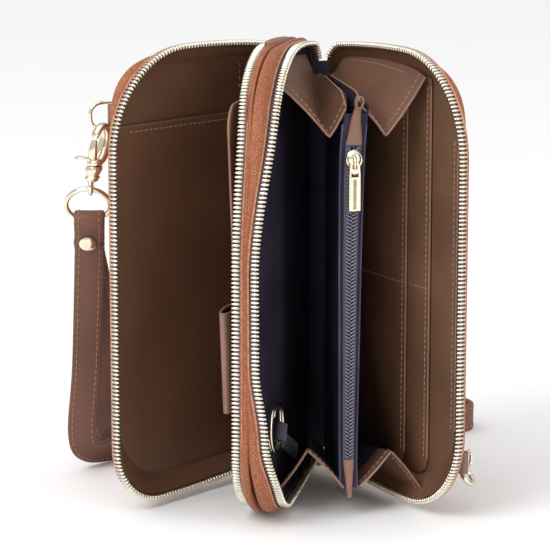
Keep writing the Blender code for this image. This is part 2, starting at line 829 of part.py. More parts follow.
def build_coil(coin, face):
    """The closed coil, its slider and the pull that hangs from it."""
    low, high = coin_zip_low + coil_end, coin_zip_high - coil_end
    outline = [(low, face)]
    count = int((high - low) / coil_pitch)
    pitch = (high - low) / count
    top, groove = face + coil_depth, face + coil_depth - coil_groove
    for k in range(count):
        start = low + k * pitch
        outline += [(start, groove), (start + pitch * 0.3, top), (start + pitch * 0.7, top)]
    outline += [(high, groove), (high, face)]
    del outline[1]
    mesh = prism(outline, -coil_half, coil_half, lambda z, u, v: Vector((v, -u, z)))
    piece("coin_coil", mesh, "zip_tape", coin)
    runner = pivot("coin_runner", (0.0, -face, coin_slider_at), parent=coin)
    half, reach = coin_slider_half, coin_slider_length / 2
    inner = coil_half + SEAT
    roof = coil_depth + SEAT
    plate = roof + coin_slider_plate
    section = [(-half, 0.0), (-inner, 0.0), (-inner, roof), (inner, roof), (inner, 0.0), (half, 0.0)]
    section += [(half, plate), (-half, plate)]
    mesh = prism(section, -reach, reach, lambda v, u, z: Vector((v, -u, z)))
    slider = piece("coin_slider", mesh, "pale_gold", runner)
    add_bridge(slider, runner, lambda a, b, c: Vector((c, -plate - b, a)))
    hang = pivot("coin_hang", (0.0, -plate - bridge_rise / 2, 0.0), parent=runner)
    build_pull("coin_pull", hang, lambda a, b, c: Vector((c, -b, -a)))


def add_bridge(slider, runner, place):
    """A small bridge on a slider's back for the eye of its pull."""
    half = bridge_length / 2
    rise = bridge_rise + bridge_thick
    outline = [(-half, -bridge_thick / 2), (-half + bridge_thick, rise), (half - bridge_thick, rise)]
    outline += [(half, -bridge_thick / 2), (half - bridge_thick, -bridge_thick / 2)]
    outline += [(half - 1.8 * bridge_thick, bridge_rise), (-half + 1.8 * bridge_thick, bridge_rise)]
    outline.append((-half + bridge_thick, -bridge_thick / 2))
    mesh = prism(outline, -bridge_width / 2, bridge_width / 2, place)
    combine(slider, piece(slider.name + "_bridge", mesh, None, runner), "UNION")


def build_pull(name, hang, place):
    """A flat pull with an eye at its hinge end and a long slot below."""
    half, low, high = pull_half, -pull_thick / 2, pull_thick / 2
    bar = pull_wall * 0.4
    start = -bar
    outline = [(start, -half * 0.7), (start + pull_eye * 1.2, -half), (pull_length - half, -half)]
    outline += [(pull_length, -half * 0.5), (pull_length, half * 0.5), (pull_length - half, half)]
    outline += [(start + pull_eye * 1.2, half), (start, half * 0.7)]
    mesh = prism(outline, low, high, lambda a, c, b: place(a, b, c))
    item = piece(name, mesh, "pale_gold", hang)
    deep = pull_thick / 2 + OVERRUN
    inner = half - pull_wall
    eye = [(bar, -inner), (bar + pull_eye, -inner), (bar + pull_eye, inner), (bar, inner)]
    mesh = prism(eye, -deep, deep, lambda a, c, b: place(a, b, c))
    combine(item, piece(name + "_eye", mesh, None, hang), "DIFFERENCE")


def gusset_edge(angle, u, lateral):
    """A point beside the right hinge line, at an opening angle, a reach and a sideways step."""
    forward = Vector((math.sin(angle), -math.cos(angle), 0.0))
    across = Vector((math.cos(angle), math.sin(angle), 0.0))
    return Vector((spine_gap / 2, hinge_back, 0.0)) + forward * u + across * lateral


def coin_half(u):
    share = (u - coin_back) / (coin_front - coin_back)
    return coin_half_back + (coin_half_front - coin_half_back) * share


def build_gusset(name, inner, top):
    """A folded gusset: a valley at the top or a ridge at the bottom, deepest in front."""
    edge = gusset_top if top else gusset_bottom
    fold = -gusset_fold_top if top else gusset_fold_bottom
    rings = []
    for k in range(gusset_steps + 1):
        u = gusset_back + (gusset_front - gusset_back) * k / gusset_steps
        beside = coin_half(u) + SEAT
        if inner:
            near = gusset_edge(0.0, u, -divider_lining_face + SEAT)
            far = gusset_edge(coin_open, u, -beside)
        else:
            near = gusset_edge(coin_open, u, beside)
            far = gusset_edge(right_open, u, cover_lining_face - 3 * (card_layer + SEAT) - SEAT)
        valley = (near + far) / 2
        depth = fold * u / gusset_front
        heights = (edge, edge + depth, edge)
        ring = [point + Vector((0, 0, z)) for point, z in zip((near, valley, far), heights)]
        under = [point - Vector((0, 0, gusset_rise)) for point in ring]
        rings.append(ring + list(reversed(under)))
    piece(name, loft(rings), "smooth_leather")


def build_tab(name, bar_reach, bar_height, side, leaf):
    """A leather tab sewn on a cover's face and folded round the D ring's bar."""
    inner = dee_wire + SEAT
    bar_v = cover_depth + SEAT + tab_thick + inner
    section = wrap_outline(bar_reach, -bar_v, inner, tab_thick, tab_length)
    flip = [(a, -2 * bar_v - b) for a, b in section]
    place = leaf_point(side)
    low, high = bar_height - tab_height / 2, bar_height + tab_height / 2
    mesh = prism(flip, low, high, lambda u, b, z: place(u, -b, z))
    piece(name, mesh, "smooth_leather", leaf, smooth=50)
    return place(bar_reach, bar_v, bar_height)


def build_dee(name, at, turn, leaf):
    """A D ring whose straight bar stands upright in its tab; it reaches along -Y."""
    hang = pivot(name + "_hang", at, turn, leaf)
    half, reach, corner = dee_bar / 2, dee_reach, dee_corner
    path = [(0.0, half), (0.0, -half)]
    path += arc(reach - corner, -half + corner, corner, -90, 0, 4)
    path += arc(reach - corner, half - corner, corner, 0, 90, 4)
    points = [Vector((0.0, -u, z)) for u, z in path]
    piece(name, tube(points, dee_wire, 8, True), "pale_gold", hang, smooth=60)
    return hang


def build_clasp(hang):
    """A sprung hook over the D ring's lower arm, with its gate, swivel and strap ring."""
    inner_top = -dee_bar / 2 + dee_wire + SEAT
    zero = inner_top + hook_wall - hook_length
    clasp = pivot("clasp_hang", (0.0, -hook_along, zero), parent=hang)
    half, wall = hook_half, hook_wall
    crown = hook_length - half
    outline = [(-half + hook_chamfer, -hook_base), (-half, hook_base)]
    outline += [(-a, b) for a, b in arc(0.0, crown, half, 0, 180, 8)]
    outline += [(half, hook_length - hook_tip), (half - wall, hook_length - hook_tip)]
    outline += arc(0.0, crown, half - wall, 0, 180, 8)
    outline += [(-half + wall, hook_base + wall), (0.0, hook_base + hook_floor)]
    outline += [(half - wall, hook_throat), (half, hook_throat)]
    outline += [(half, hook_base), (half - hook_chamfer, -hook_base)]
    mesh = prism(outline, -hook_thick / 2, hook_thick / 2, lambda w, h, t: Vector((w, t, h)))
    body = piece("clasp_body", mesh, "pale_gold", clasp, smooth=40)
    bore = arc(0.0, 0.0, stem_radius + SEAT, 0, 330, 11)
    mesh = prism(bore, -hook_base - OVERRUN, stem_height - hook_base + SEAT, lambda x, y, z: Vector((x, y, z)))
    combine(body, piece("stem_bore", mesh, None, clasp), "DIFFERENCE")
    low, high = hook_throat + SEAT, hook_length - hook_tip - SEAT
    near = half - wall + gate_overlap
    far = near + gate_thick
    middle = (low + high) / 2
    gate = [(near, low), (far, low), (far, middle - nub_thick)]
    gate += [(far + gate_nub, middle), (far + gate_nub, middle + nub_thick)]
    gate += [(far, middle + nub_foot), (far, high), (near, high)]
    mesh = prism(gate, -hook_thick * 0.35, hook_thick * 0.35, lambda w, h, t: Vector((w, t, h)))
    piece("clasp_lever", mesh, "pale_gold", clasp)
    top = -hook_base - SEAT
    base = top - swivel_height
    eye_z = base + eye_wire * 0.6 - eye_radius
    circle = [2 * math.pi * k / 16 for k in range(16)]
    eye_points = [Vector((0.0, eye_radius * math.sin(t), eye_z + eye_radius * math.cos(t))) for t in circle]
    swivel = pivot("swivel_hang", (0.0, 0.0, 0.0), strap_facing + left_open - left_dee_swing, clasp)
    barrel = []
    for radius, z in (
        (swivel_radius * 0.7, base),
        (swivel_radius, base + swivel_chamfer),
        (swivel_radius, top),
        (stem_radius, top),
        (stem_radius, top + stem_height),
    ):
        barrel.append([Vector((radius * math.cos(t), radius * math.sin(t), z)) for t in circle])
    item = piece("clasp_swivel", loft(barrel), "pale_gold", swivel, smooth=40)
    ring = piece("swivel_eye", tube(eye_points, eye_wire, 8, True), None, swivel)
    combine(item, ring, "UNION")
    rest_z = eye_z - eye_radius + eye_wire + SEAT + strap_ring_wire
    return swivel, rest_z


def strap_frame():
    """The strap's width direction, and the direction away from the camera side."""
    width = Vector((math.cos(strap_facing), math.sin(strap_facing), 0.0))
    away = Vector((-math.sin(strap_facing), math.cos(strap_facing), 0.0))
    return width, away


def build_strap_ring(at):
    """The ring that joins the strap to the swivel; it hangs by one side of its top."""
    width, away = strap_frame()
    tilt = strap_ring_tilt
    rise = Vector((0.0, 0.0, math.cos(tilt))) - away * math.sin(tilt)
    hang = strap_ring_hang
    centre = at - (width * math.cos(hang) + rise * math.sin(hang)) * strap_ring_radius
    points = []
    for k in range(28):
        t = 2 * math.pi * k / 28
        points.append(centre + (width * math.cos(t) + rise * math.sin(t)) * strap_ring_radius)
    piece("strap_ring", tube(points, strap_ring_wire, 8, True), "pale_gold", smooth=60)
    return centre - rise * strap_ring_radius


def build_strap(ring_bottom):
    """One leather loop, folded over the ring, riveted below it and laid round the back."""
    width, away = strap_frame()
    down = strap_slope.normalized()
    face = down.cross(width).normalized()
    upright = Vector((0.0, 0.0, 1.0))
    leg = strap_thick / 2 + SEAT / 2

    def at(side, drop):
        return ring_bottom + face * side + down * drop

    stations = [
        (at(fold_half, -fold_rise), width),
        (at(fold_half, fold_foot), width),
        (at(leg, meet_drop), width),
        (at(leg, rivet_drop), width),
        (at(leg, part_drop), width),
    ]
    stations += zip(map(Vector, front_leg), (width, *leg_roll))
    stations += [(Vector((x, y, strap_width / 2)), upright) for x, y in floor_run]
    stations += zip(map(Vector, back_leg), (*reversed(leg_roll), width))
    stations += [
        (at(-leg, part_drop), width),
        (at(-leg, rivet_drop), width),
        (at(-leg, meet_drop), width),
        (at(-fold_half, fold_foot), width),
        (at(-fold_half, -fold_rise), width),
        (at(-fold_half * 0.7, -fold_rise - fold_half * 0.7), width),
        (at(0.0, -fold_rise - fold_half), width),
        (at(fold_half * 0.7, -fold_rise - fold_half * 0.7), width),
    ]
    count = len(stations)
    mesh = bmesh.new()
    rows = []
    for k, (point, across) in enumerate(stations):
        along = stations[(k + 1) % count][0] - stations[k - 1][0]
        across = (across - along * (across.dot(along) / along.dot(along))).normalized()
        normal = along.normalized().cross(across)
        w, n = across * strap_width / 2, normal * strap_thick / 2
        rows.append([mesh.verts.new(point + a * w + b * n) for a, b in ((1, 1), (-1, 1), (-1, -1), (1, -1))])
    for k, row in enumerate(rows):
        after = rows[(k + 1) % count]
        for n in range(4):
            m = (n + 1) % 4
            mesh.faces.new((row[n], row[m], after[m], after[n]))
    strap = piece("wrist_strap", mesh, "strap_leather", smooth=40)
    centre = ring_bottom + down * rivet_drop
    turn = Matrix((width, face.cross(width), face)).transposed()

    def rivet_ring(radius, height, sides):
        angles = [2 * math.pi * k / sides for k in range(sides)]
        spots = [Vector((radius * math.cos(t), radius * math.sin(t), height)) for t in angles]
        return [centre + turn @ spot for spot in spots]

    deep = leg + strap_thick / 2 + SEAT + rivet_ease
    rings = []
    for radius, height in (
        (rivet_head * 0.55, -deep - rivet_dome),
        (rivet_head, -deep),
        (rivet_shank, -deep),
        (rivet_shank, deep),
        (rivet_head, deep),
        (rivet_head * 0.55, deep + rivet_dome),
    ):
        rings.append(rivet_ring(radius, height, 12))
    piece("strap_rivet", loft(rings), "pale_gold", smooth=40)
    bore = loft([rivet_ring(rivet_hole, height, 12) for height in (-deep - OVERRUN, deep + OVERRUN)])
    combine(strap, piece("rivet_bore", bore, None), "DIFFERENCE")


def build_main_slider(prefix, side, half_leaf):
    """The slider parked at the foot of a spine, and its pull behind it."""
    slope = math.atan2(zip_dip, zip_dip_run)
    height = zip_bottom + zip_dip * (1 - (slider_at - zip_back) / zip_dip_run)
    runner = pivot(prefix + "_runner", (0.0, -slider_at, height), parent=half_leaf)
    runner.rotation_euler = (slope, 0.0, 0.0)
    inner = tooth_thick / 2 + slider_slit
    outer = inner + slider_plate
    half, near = slider_half, -slider_wall_near
    section = [(-half, -outer), (half, -outer), (half, -inner), (near, -inner), (near, inner)]
    section += [(half, inner), (half, outer), (-half, outer)]
    reach = slider_length / 2
    mesh = prism(section, -reach, reach, lambda v, z, u: Vector((side * v, -u, z)))
    slider = piece(prefix + "_slider", mesh, "pale_gold", runner)
    hang = pivot(prefix + "_hang", (0.0, bridge_setback, -outer - bridge_rise / 2), parent=runner)
    add_bridge(slider, runner, lambda a, b, c: Vector((c, a + bridge_setback, -outer - b)))
    build_pull(prefix + "_pull", hang, lambda a, b, c: Vector((c, a, -b)))


def main():
    clear_scene()
    left_half = pivot("left_half", (-spine_gap / 2, hinge_back, 0.0))
    right_half = pivot("right_half", (spine_gap / 2, hinge_back, 0.0))
    middle = pivot("middle", (0.0, hinge_back, 0.0))
    build_divider(left_half, right_half, middle)
    build_page(left_half)
    build_key_ring(right_half)

    left_leaf = pivot("left_leaf", (-spine_gap / 2, hinge_back, 0.0), -left_open)
    build_cover("left_cover", False, -1, left_leaf)
    outline = rounded_front(phone_back, phone_front, phone_low, phone_high, phone_corner, phone_corner_high)
    outer = cover_lining_face - SEAT
    flat_panel("phone_pocket", outline, outer - panel_thick, outer, -1, "smooth_leather", left_leaf)

    right_leaf = pivot("right_leaf", (spine_gap / 2, hinge_back, 0.0), right_open)
    build_cover("right_cover", True, 1, right_leaf)
    build_cards(right_leaf)

    coin = pivot("coin_leaf", (spine_gap / 2, hinge_back, 0.0), coin_open)
    build_coin_pocket(coin)
    for name, inner, top in (
        ("gusset_top_inner", True, True),
        ("gusset_top_outer", False, True),
        ("gusset_bottom_inner", True, False),
        ("gusset_bottom_outer", False, False),
    ):
        build_gusset(name, inner, top)
    build_spine("spine_left", -1, -left_open)
    build_spine("spine_right", 1, right_open)
    build_main_slider("left_zip", 1, left_half)
    build_main_slider("right_zip", -1, right_half)

    bar = build_tab("left_ring_tab", left_bar_reach, left_bar_height, -1, left_leaf)
    dee = build_dee("left_d_ring", bar, left_dee_swing, left_leaf)
    swivel, rest_z = build_clasp(dee)
    bpy.context.view_layer.update()
    ring_bottom = build_strap_ring(swivel.matrix_world @ Vector((0.0, 0.0, rest_z)))
    build_strap(ring_bottom)

    bar = build_tab("right_ring_tab", right_bar_reach, right_bar_height, 1, right_leaf)
    dee = build_dee("right_d_ring", bar, right_dee_swing, right_leaf)
    drop = -dee_bar / 2 + dee_wire + SEAT + link_wire - link_radius
    points = []
    for k in range(18):
        t = 2 * math.pi * k / 18
        points.append(Vector((link_radius * math.cos(t), -link_along, drop + link_radius * math.sin(t))))
    piece("right_link_ring", tube(points, link_wire, 8, True), "pale_gold", dee, smooth=60)


main()
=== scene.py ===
import math

import bmesh
import bpy
from mathutils import Matrix, Vector


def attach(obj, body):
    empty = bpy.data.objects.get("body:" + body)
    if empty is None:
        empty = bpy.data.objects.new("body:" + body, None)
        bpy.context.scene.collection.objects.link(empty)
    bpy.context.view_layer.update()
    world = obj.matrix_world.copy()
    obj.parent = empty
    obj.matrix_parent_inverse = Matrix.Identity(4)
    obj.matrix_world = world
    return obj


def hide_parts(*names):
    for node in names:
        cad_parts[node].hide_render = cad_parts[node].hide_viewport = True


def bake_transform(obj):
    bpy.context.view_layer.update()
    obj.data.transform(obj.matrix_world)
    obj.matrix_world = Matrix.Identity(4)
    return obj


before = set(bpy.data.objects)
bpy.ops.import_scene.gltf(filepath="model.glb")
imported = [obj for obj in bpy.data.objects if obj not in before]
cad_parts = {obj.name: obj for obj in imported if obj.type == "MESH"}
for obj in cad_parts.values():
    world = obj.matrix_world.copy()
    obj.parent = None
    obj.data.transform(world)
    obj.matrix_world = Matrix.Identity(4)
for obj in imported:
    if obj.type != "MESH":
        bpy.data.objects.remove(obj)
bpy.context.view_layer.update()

# Camera and studio
# A long lens looks slightly down at the open wallet from the right. The floor is
# a white sweep, lit by a broad key light, a softer one at the side and pale air.
MM = 0.001
camera_place = Vector((0.25289, -1.09694, 0.33849))
camera_aim = Vector((-0.22073, 0.95279, -0.20850))
focal_length = 178.77
sensor_width = 36.0
lens = bpy.data.cameras.new("camera")
lens.lens = focal_length
lens.sensor_width = sensor_width
camera = bpy.data.objects.new("camera", lens)
camera.location = camera_place
camera.rotation_euler = camera_aim.to_track_quat("-Z", "Y").to_euler()
bpy.context.collection.objects.link(camera)
bpy.context.scene.camera = camera

air_colour = (1.0, 1.0, 1.0, 1.0)
air_strength = 0.62
air = bpy.data.worlds.new("air")
air.use_nodes = True
air.node_tree.nodes["Background"].inputs["Color"].default_value = air_colour
air.node_tree.nodes["Background"].inputs["Strength"].default_value = air_strength
bpy.context.scene.world = air
bpy.context.scene.view_settings.view_transform = "Standard"


def studio_light(name, place, aim, width, height, power):
    """A soft rectangular light that faces a point."""
    data = bpy.data.lights.new(name, "AREA")
    data.shape = "RECTANGLE"
    data.size = width
    data.size_y = height
    data.energy = power
    item = bpy.data.objects.new(name, data)
    item.location = place
    item.rotation_euler = (Vector(aim) - Vector(place)).to_track_quat("-Z", "Y").to_euler()
    bpy.context.collection.objects.link(item)


wallet_middle = (0.0, 0.0, 0.1)
studio_light("key_light", place=(-0.7, -1.3, 1.3), aim=wallet_middle, width=0.9, height=0.9, power=17.0)
studio_light("side_light", place=(1.3, -0.7, 0.7), aim=wallet_middle, width=0.5, height=1.0, power=6.0)
sky_power = 1.0
sky_spread = math.radians(60.0)
sky_turn = (math.radians(18.0), math.radians(-14.0), 0.0)
sky_data = bpy.data.lights.new("sky_light", "SUN")
sky_data.energy = sky_power
sky_data.angle = sky_spread
sky = bpy.data.objects.new("sky_light", sky_data)
sky.rotation_euler = sky_turn
bpy.context.collection.objects.link(sky)


# Covers
# Each cover is a stiffened tray of pebbled leather: a flat face that rolls over
# into a rim along the zip, with its lip folded in and open at the spine.
class Wire:
    """A node's output that can stand in sums."""

    def __init__(self, paint, socket):
        self.paint = paint
        self.socket = socket

    def math(self, operation, first, second):
        return self.paint.node("ShaderNodeMath", {"operation": operation}, {0: first, 1: second})

    def __add__(self, other):
        return self.math("ADD", self, other)

    def __radd__(self, other):
        return self.math("ADD", other, self)

    def __sub__(self, other):
        return self.math("SUBTRACT", self, other)

    def __rsub__(self, other):
        return self.math("SUBTRACT", other, self)

    def __mul__(self, other):
        return self.math("MULTIPLY", self, other)

    def __rmul__(self, other):
        return self.math("MULTIPLY", other, self)


class Paint:
    """A finish: its material, its shader and the nodes that feed it."""

    def __init__(self, name, constants):
        self.material = bpy.data.materials.new(name)
        self.material.use_nodes = True
        self.tree = self.material.node_tree
        self.shader = self.tree.nodes["Principled BSDF"]
        self.set(constants)
        self.place = self.node("ShaderNodeTexCoord", output="Object")

    def feed(self, socket, value):
        if isinstance(value, Wire):
            self.tree.links.new(value.socket, socket)
        else:
            socket.default_value = value

    def set(self, values):
        for key, value in values.items():
            self.feed(self.shader.inputs[key], value)

    def node(self, kind, settings=None, inputs=None, output=0):
        made = self.tree.nodes.new(kind)
        for key, value in (settings or {}).items():
            setattr(made, key, value)
        for key, value in (inputs or {}).items():
            self.feed(made.inputs[key], value)
        return Wire(self, made.outputs[output])

    def mix(self, share, first, second):
        """Goes from the first colour to the second as the share rises from 0 to 1."""
        ends = [colour if isinstance(colour, Wire) else (*colour, 1.0) for colour in (first, second)]
        inputs = {0: share, 6: ends[0], 7: ends[1]}
        return self.node("ShaderNodeMix", {"data_type": "RGBA"}, inputs, 2)

    def spread(self, value, low, high):
        """The value taken from low..high to 0..1, held at both ends."""
        inputs = {"Value": value, "From Min": low, "From Max": high}
        return self.node("ShaderNodeMapRange", {"interpolation_type": "SMOOTHSTEP"}, inputs)

    def blotches(self, scale, detail=3.0):
        """Soft random cloudiness, about scale patches to the metre."""
        inputs = {"Vector": self.place, "Scale": scale, "Detail": detail}
        return self.node("ShaderNodeTexNoise", {}, inputs)

    def relief(self, height, distance, strength=1.0):
        """Fine relief of the surface, as deep as the distance."""
        inputs = {"Height": height, "Distance": distance, "Strength": strength}
        self.set({"Normal": self.node("ShaderNodeBump", {}, inputs)})


def pebbled_leather(name, crest, painted_crease_shade):
    """Tumbled leather: rounded pebbles under a millimetre wide, with painted shade in the creases and a
    painted highlight on the pebble tops in patches.
    """
    pebble_scale = 1150.0
    pebble_swim = 0.7 * MM
    crease_share = 0.32
    pebble_deep = 0.22 * MM
    paint = Paint(name, {"Specular IOR Level": 0.42})
    stir = {0: paint.blotches(260.0), "Scale": pebble_swim}
    swim = paint.node("ShaderNodeVectorMath", {"operation": "SCALE"}, stir)
    spot = paint.node("ShaderNodeVectorMath", {"operation": "ADD"}, {0: paint.place, 1: swim})
    cells = {"Vector": spot, "Scale": pebble_scale}
    edge = paint.node("ShaderNodeTexVoronoi", {"feature": "DISTANCE_TO_EDGE"}, cells)
    pebble = paint.spread(edge, 0.0, crease_share)
    mottle = paint.spread(paint.blotches(45.0), 0.3, 0.7)
    # The crease colour is painted shade: each pebble darkens towards its edges.
    colour = paint.mix(pebble, painted_crease_shade, crest)
    # Pebble tops lightened in patches: a painted highlight.
    pebble_highlight = [min(1.0, tone * 1.25 + 0.015) for tone in crest]
    colour = paint.mix(mottle * pebble * 0.45, colour, pebble_highlight)
    paint.set({"Base Color": colour, "Roughness": 0.62 - 0.16 * pebble})
    paint.relief(pebble + 0.35 * paint.blotches(2600.0), pebble_deep, 0.85)
    return paint.material


hinge_back = 50.0 * MM
hinge_side = 8.0 * MM
left_open = math.radians(29.1)
right_open = math.radians(44.7)


def leaf_frame(spine, turn, side):
    """Turns a leaf's own (u out from the spine, v to its outer side, z up) into the frame."""
    own = Matrix((
        (0.0, side, 0.0, 0.0),
        (-1.0, 0.0, 0.0, 0.0),
        (0.0, 0.0, 1.0, 0.0),
        (0.0, 0.0, 0.0, 1.0),
    ))
    return Matrix.Translation((spine, hinge_back, 0.0)) @ Matrix.Rotation(turn, 4, "Z") @ own


left_leaf = leaf_frame(-hinge_side, -left_open, -1.0)
right_leaf = leaf_frame(hinge_side, right_open, 1.0)

zip_reach = 105.0 * MM
zip_top = 194.8 * MM
zip_bottom = 3.9 * MM
zip_back = 4.0 * MM
dip_top = 4.6 * MM
dip_bottom = 3.9 * MM
curl_deep = 7.0 * MM
curl_run = 9.0 * MM
tray_corner_top = 19.0 * MM
tray_corner_bottom = 27.0 * MM
top_swell = 0.4 * MM
foot_swell = 0.9 * MM
left_corners = (42.0 * MM, 26.0 * MM)
right_corners = (42.0 * MM, 36.0 * MM)
run_steps = 14
turn_steps = 16
front_steps = 26


def zip_line(corners, grow=0.0, corner_share=0.0, dip_share=1.0, swell_share=0.0):
    """The zip edge as (u, z): from the spine along the top, round the front and back below."""
    reach = zip_reach + grow
    top = zip_top + grow + top_swell * swell_share
    low = zip_bottom - grow - foot_swell * swell_share
    r_top = corners[0] + (tray_corner_top - corners[0]) * corner_share
    r_low = corners[1] + (tray_corner_bottom - corners[1]) * corner_share
    line = []
    for k in range(run_steps):
        t = (k / run_steps) ** 1.5
        u = zip_back + (reach - r_top - zip_back) * t
        curl = curl_deep * max(0.0, 1.0 - (u - zip_back) / curl_run) ** 2
        line.append((u, top - dip_top * dip_share * (1.0 - t) ** 2 - curl))
    for k in range(turn_steps + 1):
        a = math.pi / 2 * k / turn_steps
        line.append((reach - r_top + r_top * math.sin(a), top - r_top + r_top * math.cos(a)))
    for k in range(1, front_steps):
        line.append((reach, top - r_top + (low + r_low - top + r_top) * k / front_steps))
    for k in range(turn_steps + 1):
        a = math.pi / 2 * k / turn_steps
        line.append((reach - r_low + r_low * math.cos(a), low + r_low - r_low * math.sin(a)))
    for k in range(1, run_steps + 1):
        t = k / run_steps
        line.append((reach - r_low + (zip_back - reach + r_low) * t, low + dip_bottom * dip_share * t * t))
    return line


def smooth_run(stops, steps):
    """A Catmull-Rom curve through rows of numbers."""
    run = []
    for k in range(len(stops) - 1):
        group = (stops[max(k - 1, 0)], stops[k], stops[k + 1], stops[min(k + 2, len(stops) - 1)])
        for n in range(steps):
            t = n / steps
            weights = (
                -t + 2 * t**2 - t**3,
                2 - 5 * t**2 + 3 * t**3,
                t + 4 * t**2 - 3 * t**3,
                t**3 - t**2,
            )
            run.append([sum(w * p for w, p in zip(weights, column)) / 2 for column in zip(*group)])
    run.append(list(stops[-1]))
    return run


def put(name, mesh, finish, body, slot, nodes=(), smooth=40.0):
    """Makes a piece of the wallet from a mesh: shaded, painted and riding on its body."""
    bmesh.ops.recalc_face_normals(mesh, faces=mesh.faces)
    data = bpy.data.meshes.new(name)
    mesh.to_mesh(data)
    mesh.free()
    data.shade_smooth()
    data.set_sharp_from_angle(angle=math.radians(smooth))
    item = bpy.data.objects.new(name, data)
    bpy.context.collection.objects.link(item)
    data.materials.append(finish)
    if body:
        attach(item, body)
    if nodes:
        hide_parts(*nodes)
    return item


def skin(mesh, rings, closed=True, caps=True):
    """Adds a skin over rings of equally many points to a mesh."""
    rows = [[mesh.verts.new(point) for point in ring] for ring in rings]
    count = len(rows[0])
    for row, after in zip(rows, rows[1:]):
        for k in range(count if closed else count - 1):
            n = (k + 1) % count
            mesh.faces.new((row[k], row[n], after[n], after[k]))
    if caps:
        mesh.faces.new(rows[0])
        mesh.faces.new(list(reversed(rows[-1])))
    return mesh


def straight(u, z):
    """No sideways shift: a stiffened cover keeps its zip edge in one plane."""
    return 0.0


def tray(name, leaf, corners, profile, thick, shift, finish, body, nodes, slot="pebbled_leather"):
    """A pan open at the spine. Profile rows: grow, depth and the shares of corner, dip, shift and swell."""
    inner = []
    for k, row in enumerate(profile):
        before = profile[max(k - 1, 0)]
        after = profile[min(k + 1, len(profile) - 1)]
        along = Vector((after[0] - before[0], after[1] - before[1])).normalized()
        inner.append([row[0] - along[1] * thick, row[1] + along[0] * thick] + list(row[2:]))
    rows = []
    mesh = bmesh.new()
    for grow, depth, corner, dip, squeeze, swell in list(profile) + inner[::-1]:
        line = zip_line(corners, grow, corner, dip, swell)
        spots = [Vector((u, depth + squeeze * shift(u, z), z)) for u, z in line]
        rows.append([mesh.verts.new(leaf @ spot) for spot in spots])
    flat = len(profile) - 1
    last = len(rows) - 1
    for k in range(last + 1):
        row = rows[k]
        after = rows[(k + 1) % (last + 1)]
        if k == flat:
            for ring in (row, after):
                middle = mesh.verts.new(sum((vert.co for vert in ring), Vector()) / len(ring))
                for n in range(len(ring)):
                    mesh.faces.new((ring[n], ring[(n + 1) % len(ring)], middle))
            continue
        for n in range(len(row) - 1):
            mesh.faces.new((row[n], row[n + 1], after[n + 1], after[n]))
    for n in (0, -1):
        for k in range(flat):
            mesh.faces.new((rows[k][n], rows[k + 1][n], rows[last - k - 1][n], rows[last - k][n]))
    mesh.faces.new((rows[flat][0], rows[flat][-1], rows[flat + 1][-1], rows[flat + 1][0]))
    return put(name, mesh, finish, body, slot, nodes)


leather = 1.2 * MM
lip_out = 1.85 * MM
lip_back = 3.7 * MM
cover_depth = 12.0 * MM
cover_crown = 0.5 * MM
lip_inset = 0.2 * MM
lip_deep = 2.1 * MM
rim_deep = 8.1 * MM
face_inset = 44.0 * MM
# The sloping rim: depth, and the shares of corner, dip and swell there.
rim_stops = (
    (2.9 * MM, 0.2, 1.0, 0.3),
    (4.4 * MM, 0.6, 0.8, 0.7),
    (6.2 * MM, 0.9, 0.4, 1.0),
    (rim_deep, 1.0, 0.1, 0.8),
)
# The roll into the face: the step in from the rim, the depth and the share of swell.
roll_stops = (
    (3.0 * MM, 10.2 * MM, 0.5),
    (7.0 * MM, 11.4 * MM, 0.2),
    (13.0 * MM, cover_depth, 0.0),
    (22.0 * MM, cover_depth + 0.6 * cover_crown, 0.0),
)
left_tuck = 1.1
right_tuck = 1.62
covers = (
    ("left_cover", left_leaf, left_corners, left_tuck),
    ("right_cover", right_leaf, right_corners, right_tuck),
)


def cover_profile(tuck):
    """The rim slopes back behind the zip by tuck, then turns over into the flat face."""
    rows = [
        (-0.9 * MM, 2.3 * MM, 0.0, 1.0, 1.0, 0.0),
        (-lip_inset, lip_deep, 0.05, 1.0, 1.0, 0.1),
    ]
    for depth, corner, dip, swell in rim_stops:
        rows.append((-lip_inset - tuck * (depth - lip_deep), depth, corner, dip, 0.0, swell))
    rim_inset = lip_inset + tuck * (rim_deep - lip_deep)
    for step, depth, swell in roll_stops:
        rows.append((-rim_inset - step, depth, 1.0, 0.0, 0.0, swell))
    rows.append((-face_inset, cover_depth + cover_crown, 1.0, 0.0, 0.0, 0.0))
    return smooth_run(rows, 3)


# The second colour is the painted shade in the creases.
tan_pebbles = pebbled_leather("tan_pebbled_leather", (0.47, 0.165, 0.072), (0.25, 0.075, 0.032))
for cover, leaf, corners, tuck in covers:
    tray(cover + "_leather", leaf, corners, cover_profile(tuck), leather, straight, tan_pebbles,
         cover, (cover + "_shell", cover + "_board"))


# Divider
# The middle leaf is two shallow trays of the same leather, back to back. Nothing
# stiffens their rims, so they are drawn together at mid height and spread at both ends.
left_half = leaf_frame(-hinge_side, 0.0, 1.0)
right_half = leaf_frame(hinge_side, 0.0, -1.0)
divider_corners = (58.0 * MM, 42.0 * MM)
divider_face = 7.1 * MM
halves_meet = hinge_side - 0.3 * MM


def scaled(rows):
    """Rows of millimetres as lengths."""
    return [tuple(value * MM for value in row) for row in rows]


def eased(stops, height):
    """The value between (height, value) stops, eased from each stop to the next."""
    for (low, a), (high, b) in zip(stops, stops[1:]):
        if height <= high:
            break
    t = max(0.0, min(1.0, (height - low) / (high - low)))
    return a + (b - a) * t * t * (3.0 - 2.0 * t)


def lean(stops):
    """A sideways shift of the zip edge, given at a few heights, that fades towards the spine."""
    def shift(u, z):
        return eased(stops, z) * max(0.0, min(1.0, u / zip_reach)) ** 2
    return shift


